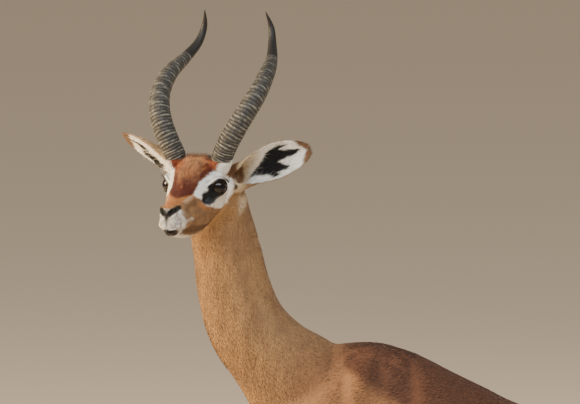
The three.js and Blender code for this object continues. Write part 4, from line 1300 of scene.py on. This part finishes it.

# %% [markdown]
# ## Horns
# Gerenuk horns swing back, then forward at the tips. Close rings cover their lower three quarters;
# their crests are grey with pale tops, a painted highlight, and the grooves are darkened as painted
# shade. A screw or an array would repeat the same ring, but real rings are uneven, so circles are set
# one by one on the horn's curve, pushed out on each crest by an amount that varies round the horn, and
# bridged.

# %% Model the horns
HORN_LINE = [(28, 37.5, 24), (27, 46, 47), (27, 59.5, 75), (34, 73, 101), (49, 85, 127), (77, 94, 155),
             (118, 94, 183), (165, 85, 205), (198, 73, 230), (211, 66, 260), (200, 60, 290)]
HORN_TAPER = (1, 1.01, 1.02, 1.0, 0.96, 0.89, 0.8, 0.69, 0.57, 0.45, 0.32, 0.06)
HORN_RADIUS = 18.8
SKIN_SHARE = 0.036  # below this share of its length a horn is narrower and hidden in the skin
SKIN_REACH = 0.02  # over this share it widens to its full size
HORN_RINGS, RINGED_SHARE, RING_HEIGHT = 44, 0.72, 2.0
TIP_STEPS, CURVE_STEPS = 24, 600
RING_CROWDING = 1.28  # rings lie closer together towards the root
RING_PROFILE = ((0, 0.0), (0.12, 0.35), (0.34, 0.72), (0.58, 0.86), (0.76, 1.0), (0.9, 0.5))


def horn_material():
    made, tree, shader = material("ringed_horn", 0.48, 0.3)
    where = add(tree, "ShaderNodeTexCoord").outputs["Object"]
    horn_map = add(tree, "ShaderNodeAttribute", attribute_name="horn_place").outputs["Vector"]
    crest, along, _ = add(tree, "ShaderNodeSeparateXYZ", {0: horn_map}).outputs
    blotch = noise(tree, where, 160, 4)
    streak = noise(tree, where, 900, 3, (1, 1, 0.12))
    ridge = maths(tree, "MAXIMUM", crest, 0.0)
    uneven = maths(tree, "MULTIPLY_ADD", blotch, 1.6, -0.2)
    body = maths(tree, "MULTIPLY", maths(tree, "POWER", ridge, 1.2), uneven)
    patchy = maths(tree, "MULTIPLY_ADD", blotch, 2.4, -0.6)
    # The crests' pale tops are a painted highlight, patchy, and fainter towards the tip
    painted_crest_highlight = maths(tree, "MULTIPLY", maths(tree, "POWER", ridge, 7.0), patchy)
    painted_crest_highlight = maths(tree, "MULTIPLY", painted_crest_highlight, maths(tree, "MULTIPLY_ADD", along, -1.2, 1.1))
    dark = blend(tree, streak, (0.009, 0.008, 0.008, 1), (0.032, 0.029, 0.026, 1))
    # Grey on the crests, darkening into the grooves as painted shade; at the smooth tip this dark is the
    # horn's own colour
    grey = blend(tree, body, dark, (0.135, 0.125, 0.105, 1))
    pale = blend(tree, painted_crest_highlight, grey, (0.23, 0.21, 0.165, 1))
    tree.links.new(pale, shader.inputs["Base Color"])
    lifted(tree, shader, maths(tree, "ADD", streak, blotch), 0.6, 0.001)
    return made


RINGED = horn_material()


def horn_stations():
    stations = []
    for k in range(HORN_RINGS):
        for step_in, height in RING_PROFILE:
            stations.append((RINGED_SHARE * ((k + step_in) / HORN_RINGS) ** RING_CROWDING, height, k))
    for k in range(TIP_STEPS + 1):
        stations.append((RINGED_SHARE + (1 - RINGED_SHARE) * k / TIP_STEPS, 0, HORN_RINGS))
    return stations


def horn_curve():
    """Places at even steps along the horn"""
    fine_line = smooth_rows(HORN_LINE, CURVE_STEPS)[:, :3]
    run = np.concatenate([[0], np.cumsum(np.linalg.norm(np.diff(fine_line, axis=0), axis=1))])
    even = np.linspace(0, run[-1], CURVE_STEPS + 1)
    return np.stack([np.interp(even, run, fine_line[:, i]) for i in range(3)], 1), run[-1]


def on_curve(curve, t):
    return Vector([np.interp(t * CURVE_STEPS, range(CURVE_STEPS + 1), curve[:, i]) for i in range(3)])


line, horn_length = horn_curve()
heading = np.gradient(line, axis=0)
for side, name in ((LEFT, "left"), (RIGHT, "right")):
    horn = bmesh.new()
    rings, place = [], []
    for t, height, k in horn_stations():
        centre, way = on_curve(line, t), on_curve(heading, t).normalized()
        sideways = Vector((1, 0, 0)).cross(way).normalized()
        forwards = way.cross(sideways)
        radius = HORN_RADIUS * np.interp(t, np.linspace(0, 1, len(HORN_TAPER)), HORN_TAPER)
        bare = min(1, max(0, (t - SKIN_SHARE) / SKIN_REACH))
        up_horn = k / HORN_RINGS
        verts = bmesh.ops.create_circle(horn, segments=48, radius=1)["verts"]
        for v in verts:
            turn = math.atan2(v.co.y, v.co.x)
            chips = GRAIN[k % GRAIN_CELLS, int(turn * 5) % GRAIN_CELLS, 3]
            wear = 0.75 + 0.35 * chips + 0.25 * math.sin(2 * turn + 2.1 * k)
            raised = RING_HEIGHT * (1 - 0.3 * t) * height * wear * (0.72 - 0.28 * math.sin(turn))
            raised *= 1 - up_horn**8
            tilt = 1.4 * math.sin(turn + 0.4) + 0.7 * math.sin(3 * turn + 1.7 * k)
            tilt *= (1 - up_horn**4) * (k > 0)
            out = sideways * (0.97 * v.co.x) + forwards * (1.05 * v.co.y)
            v.co = centre + out * (radius * (0.86 + 0.14 * bare) + raised * bare - 0.4) + way * tilt * bare
            place.append((height * wear, t, turn))
        rings.append(list({e for v in verts for e in v.link_edges}))
    for before, after in zip(rings, rings[1:]):
        bmesh.ops.bridge_loops(horn, edges=before + after)
    for end in (rings[0], rings[-1]):
        bmesh.ops.contextual_create(horn, geom=end)
    for v in horn.verts:
        v.co = HEAD @ on_side(v.co, side)
    mesh = as_mesh(horn, f"horn_sheath_{name}")
    store(mesh, "horn_place", "FLOAT_VECTOR", np.array(place))
    placed(f"horn_sheath_{name}", mesh, RINGED, [f"horn_{name}"])
print("horns of", round(horn_length), "mm along the curve")

# %% [markdown]
# ## Hooves
# Each foot stands on two narrow hooves. A hoof is horn too: hard, dark and faintly ringed where it
# grew. Four ovals from the coronet to the sole are enough, with thin growth lines between them.

# %% Model the hooves
HOOF_SPREAD = 11.5  # of a foot's two hooves from its middle
FORE_HOOF, HIND_HOOF = (-129, 82), (545, 80)
HOOF_ROWS = [  # how far back, height, then sizes as in the body's rows
    (9, 36, 8.2, 17, 17, 0, 0.25), (7, 29, 8.9, 19, 20.5, 0.03, 0.28), (5, 21.6, 9.2, 21, 24, 0.05, 0.3),
    (2.2, 10, 9.6, 23.4, 29, 0.05, 0.36), (0, 0, 9.6, 24.6, 32.6, 0.05, 0.4),
]
SOLE_BEVEL = 1.2


def hoof_material():
    made, tree, shader = material("hoof_horn", 0.42, 0.5)
    where = add(tree, "ShaderNodeTexCoord").outputs["Object"]
    bands = noise(tree, where, 260, 3, (0.3, 0.3, 2.2))
    dust = noise(tree, where, 70, 3)
    mixed = maths(tree, "MULTIPLY", bands, maths(tree, "MULTIPLY_ADD", dust, 1.2, 0.2))
    colour = blend(tree, mixed, (0.012, 0.010, 0.009, 1), (0.11, 0.085, 0.065, 1))
    tree.links.new(colour, shader.inputs["Base Color"])
    lifted(tree, shader, bands, 0.4, 0.001)
    return made


HARD = hoof_material()
for end, (x, y), step_of in (("foreleg", FORE_HOOF, FORE_STEP), ("hindleg", HIND_HOOF, HIND_STEP)):
    for side, name in ((LEFT, "left"), (RIGHT, "right")):
        for place, out in (("inner", -1), ("outer", 1)):
            cx, cy = x + step_of[side], side * (y + out * HOOF_SPREAD)
            rows = [(cx + back, cy, *sizes) for back, *sizes in HOOF_ROWS]
            hoof = bmesh.new()
            loft(hoof, rows, around=32, along=28, caps=(0, 0), rise=(1, 0, 0))
            bmesh.ops.recalc_face_normals(hoof, faces=hoof.faces)
            sole = [e for e in hoof.edges if all(v.co.z < 0.01 for v in e.verts)]
            bmesh.ops.bevel(hoof, geom=sole, offset=SOLE_BEVEL, segments=3, profile=0.5, affect="EDGES",
                            material=-1)
            full_name = f"{end}_{name}_{place}"
            mesh = as_mesh(hoof, f"hoof_wall_{full_name}")
            placed(f"hoof_wall_{full_name}", mesh, HARD, [f"hoof_{full_name}"])
print("eight hooves")

# %% [markdown]
# ## Floor, light and camera
# The photograph was taken with a long lens from far away, a little above the animal's head, so the
# floor is seen behind it. A broad warm light stands at the animal's left front, as the low sun does,
# and a large pale one fills the shade.

# %% Stage, lights and camera
LENS, SENSOR = 414, 36
FAR = 12000
SCALE = 1.8  # millimetres of the animal for each pixel of the picture
LOOK_ROUND, LOOK_DOWN = math.radians(10), math.radians(6)
ACROSS = Vector((math.cos(LOOK_ROUND), math.sin(LOOK_ROUND), 0))
BACK = Vector((math.sin(LOOK_ROUND) * math.cos(LOOK_DOWN),
               -math.cos(LOOK_ROUND) * math.cos(LOOK_DOWN), math.sin(LOOK_DOWN)))
UPWARD = BACK.cross(ACROSS)
WITHERS = Vector((0, 0, 960))
RIGHT_TO_MIDDLE, DOWN_TO_WITHERS = 290 - 380, 343 - 202  # pixels between them and the picture's middle
CENTRE = WITHERS + ACROSS * (RIGHT_TO_MIDDLE * SCALE) + UPWARD * (DOWN_TO_WITHERS * SCALE)

camera = bpy.data.objects.new("camera", bpy.data.cameras.new("camera"))
camera.data.lens, camera.data.sensor_width = LENS, SENSOR
camera.data.clip_start, camera.data.clip_end = 0.5, 400
camera.matrix_world = (Matrix.Translation(TO_FRAME @ (CENTRE + BACK * FAR)) @
                       Matrix((ACROSS, UPWARD, BACK)).transposed().to_4x4())
scene.collection.objects.link(camera)
scene.camera = camera

ground = bmesh.new()
bmesh.ops.create_grid(ground, x_segments=2, y_segments=2, size=90)
floor_mesh = bpy.data.meshes.new("floor")
ground.to_mesh(floor_mesh)
ground.free()
floor = bpy.data.objects.new("floor", floor_mesh)
scene.collection.objects.link(floor)
pale, _, pale_shader = material("pale_floor", 0.8, 0.2)
pale_shader.inputs["Base Color"].default_value = (0.88, 0.76, 0.61, 1)
floor_mesh.materials.append(pale)


def softbox(name, place, aim, size, power, colour, shines=True):
    light = bpy.data.lights.new(name, "AREA")
    light.shape, light.energy, light.color = "RECTANGLE", power, colour
    light.size, light.size_y = size
    lamp = bpy.data.objects.new(name, light)
    lamp.location = place
    lamp.rotation_euler = (Vector(place) - Vector(aim)).to_track_quat("Z", "Y").to_euler()
    lamp.visible_glossy = shines
    scene.collection.objects.link(lamp)


softbox("key", (-5.2, -1.3, 2.9), (-0.3, 0, 1.1), (1.8, 1.8), 640, (1.0, 0.78, 0.50))
softbox("sky", (1.0, -4.6, 5.4), (-0.3, 0, 1.1), (7, 2.4), 460, (0.84, 0.92, 1.0))
softbox("back", (2.4, 4.2, 3.6), (0, 0, 0.9), (2.4, 2.4), 120, (1.0, 0.95, 0.88), shines=False)
world = bpy.data.worlds.new("studio")
world.use_nodes = True
world.node_tree.nodes["Background"].inputs["Color"].default_value = (1.0, 0.88, 0.74, 1)
world.node_tree.nodes["Background"].inputs["Strength"].default_value = 0.36
scene.world = world
print("camera", round(FAR / 1000), "m away")
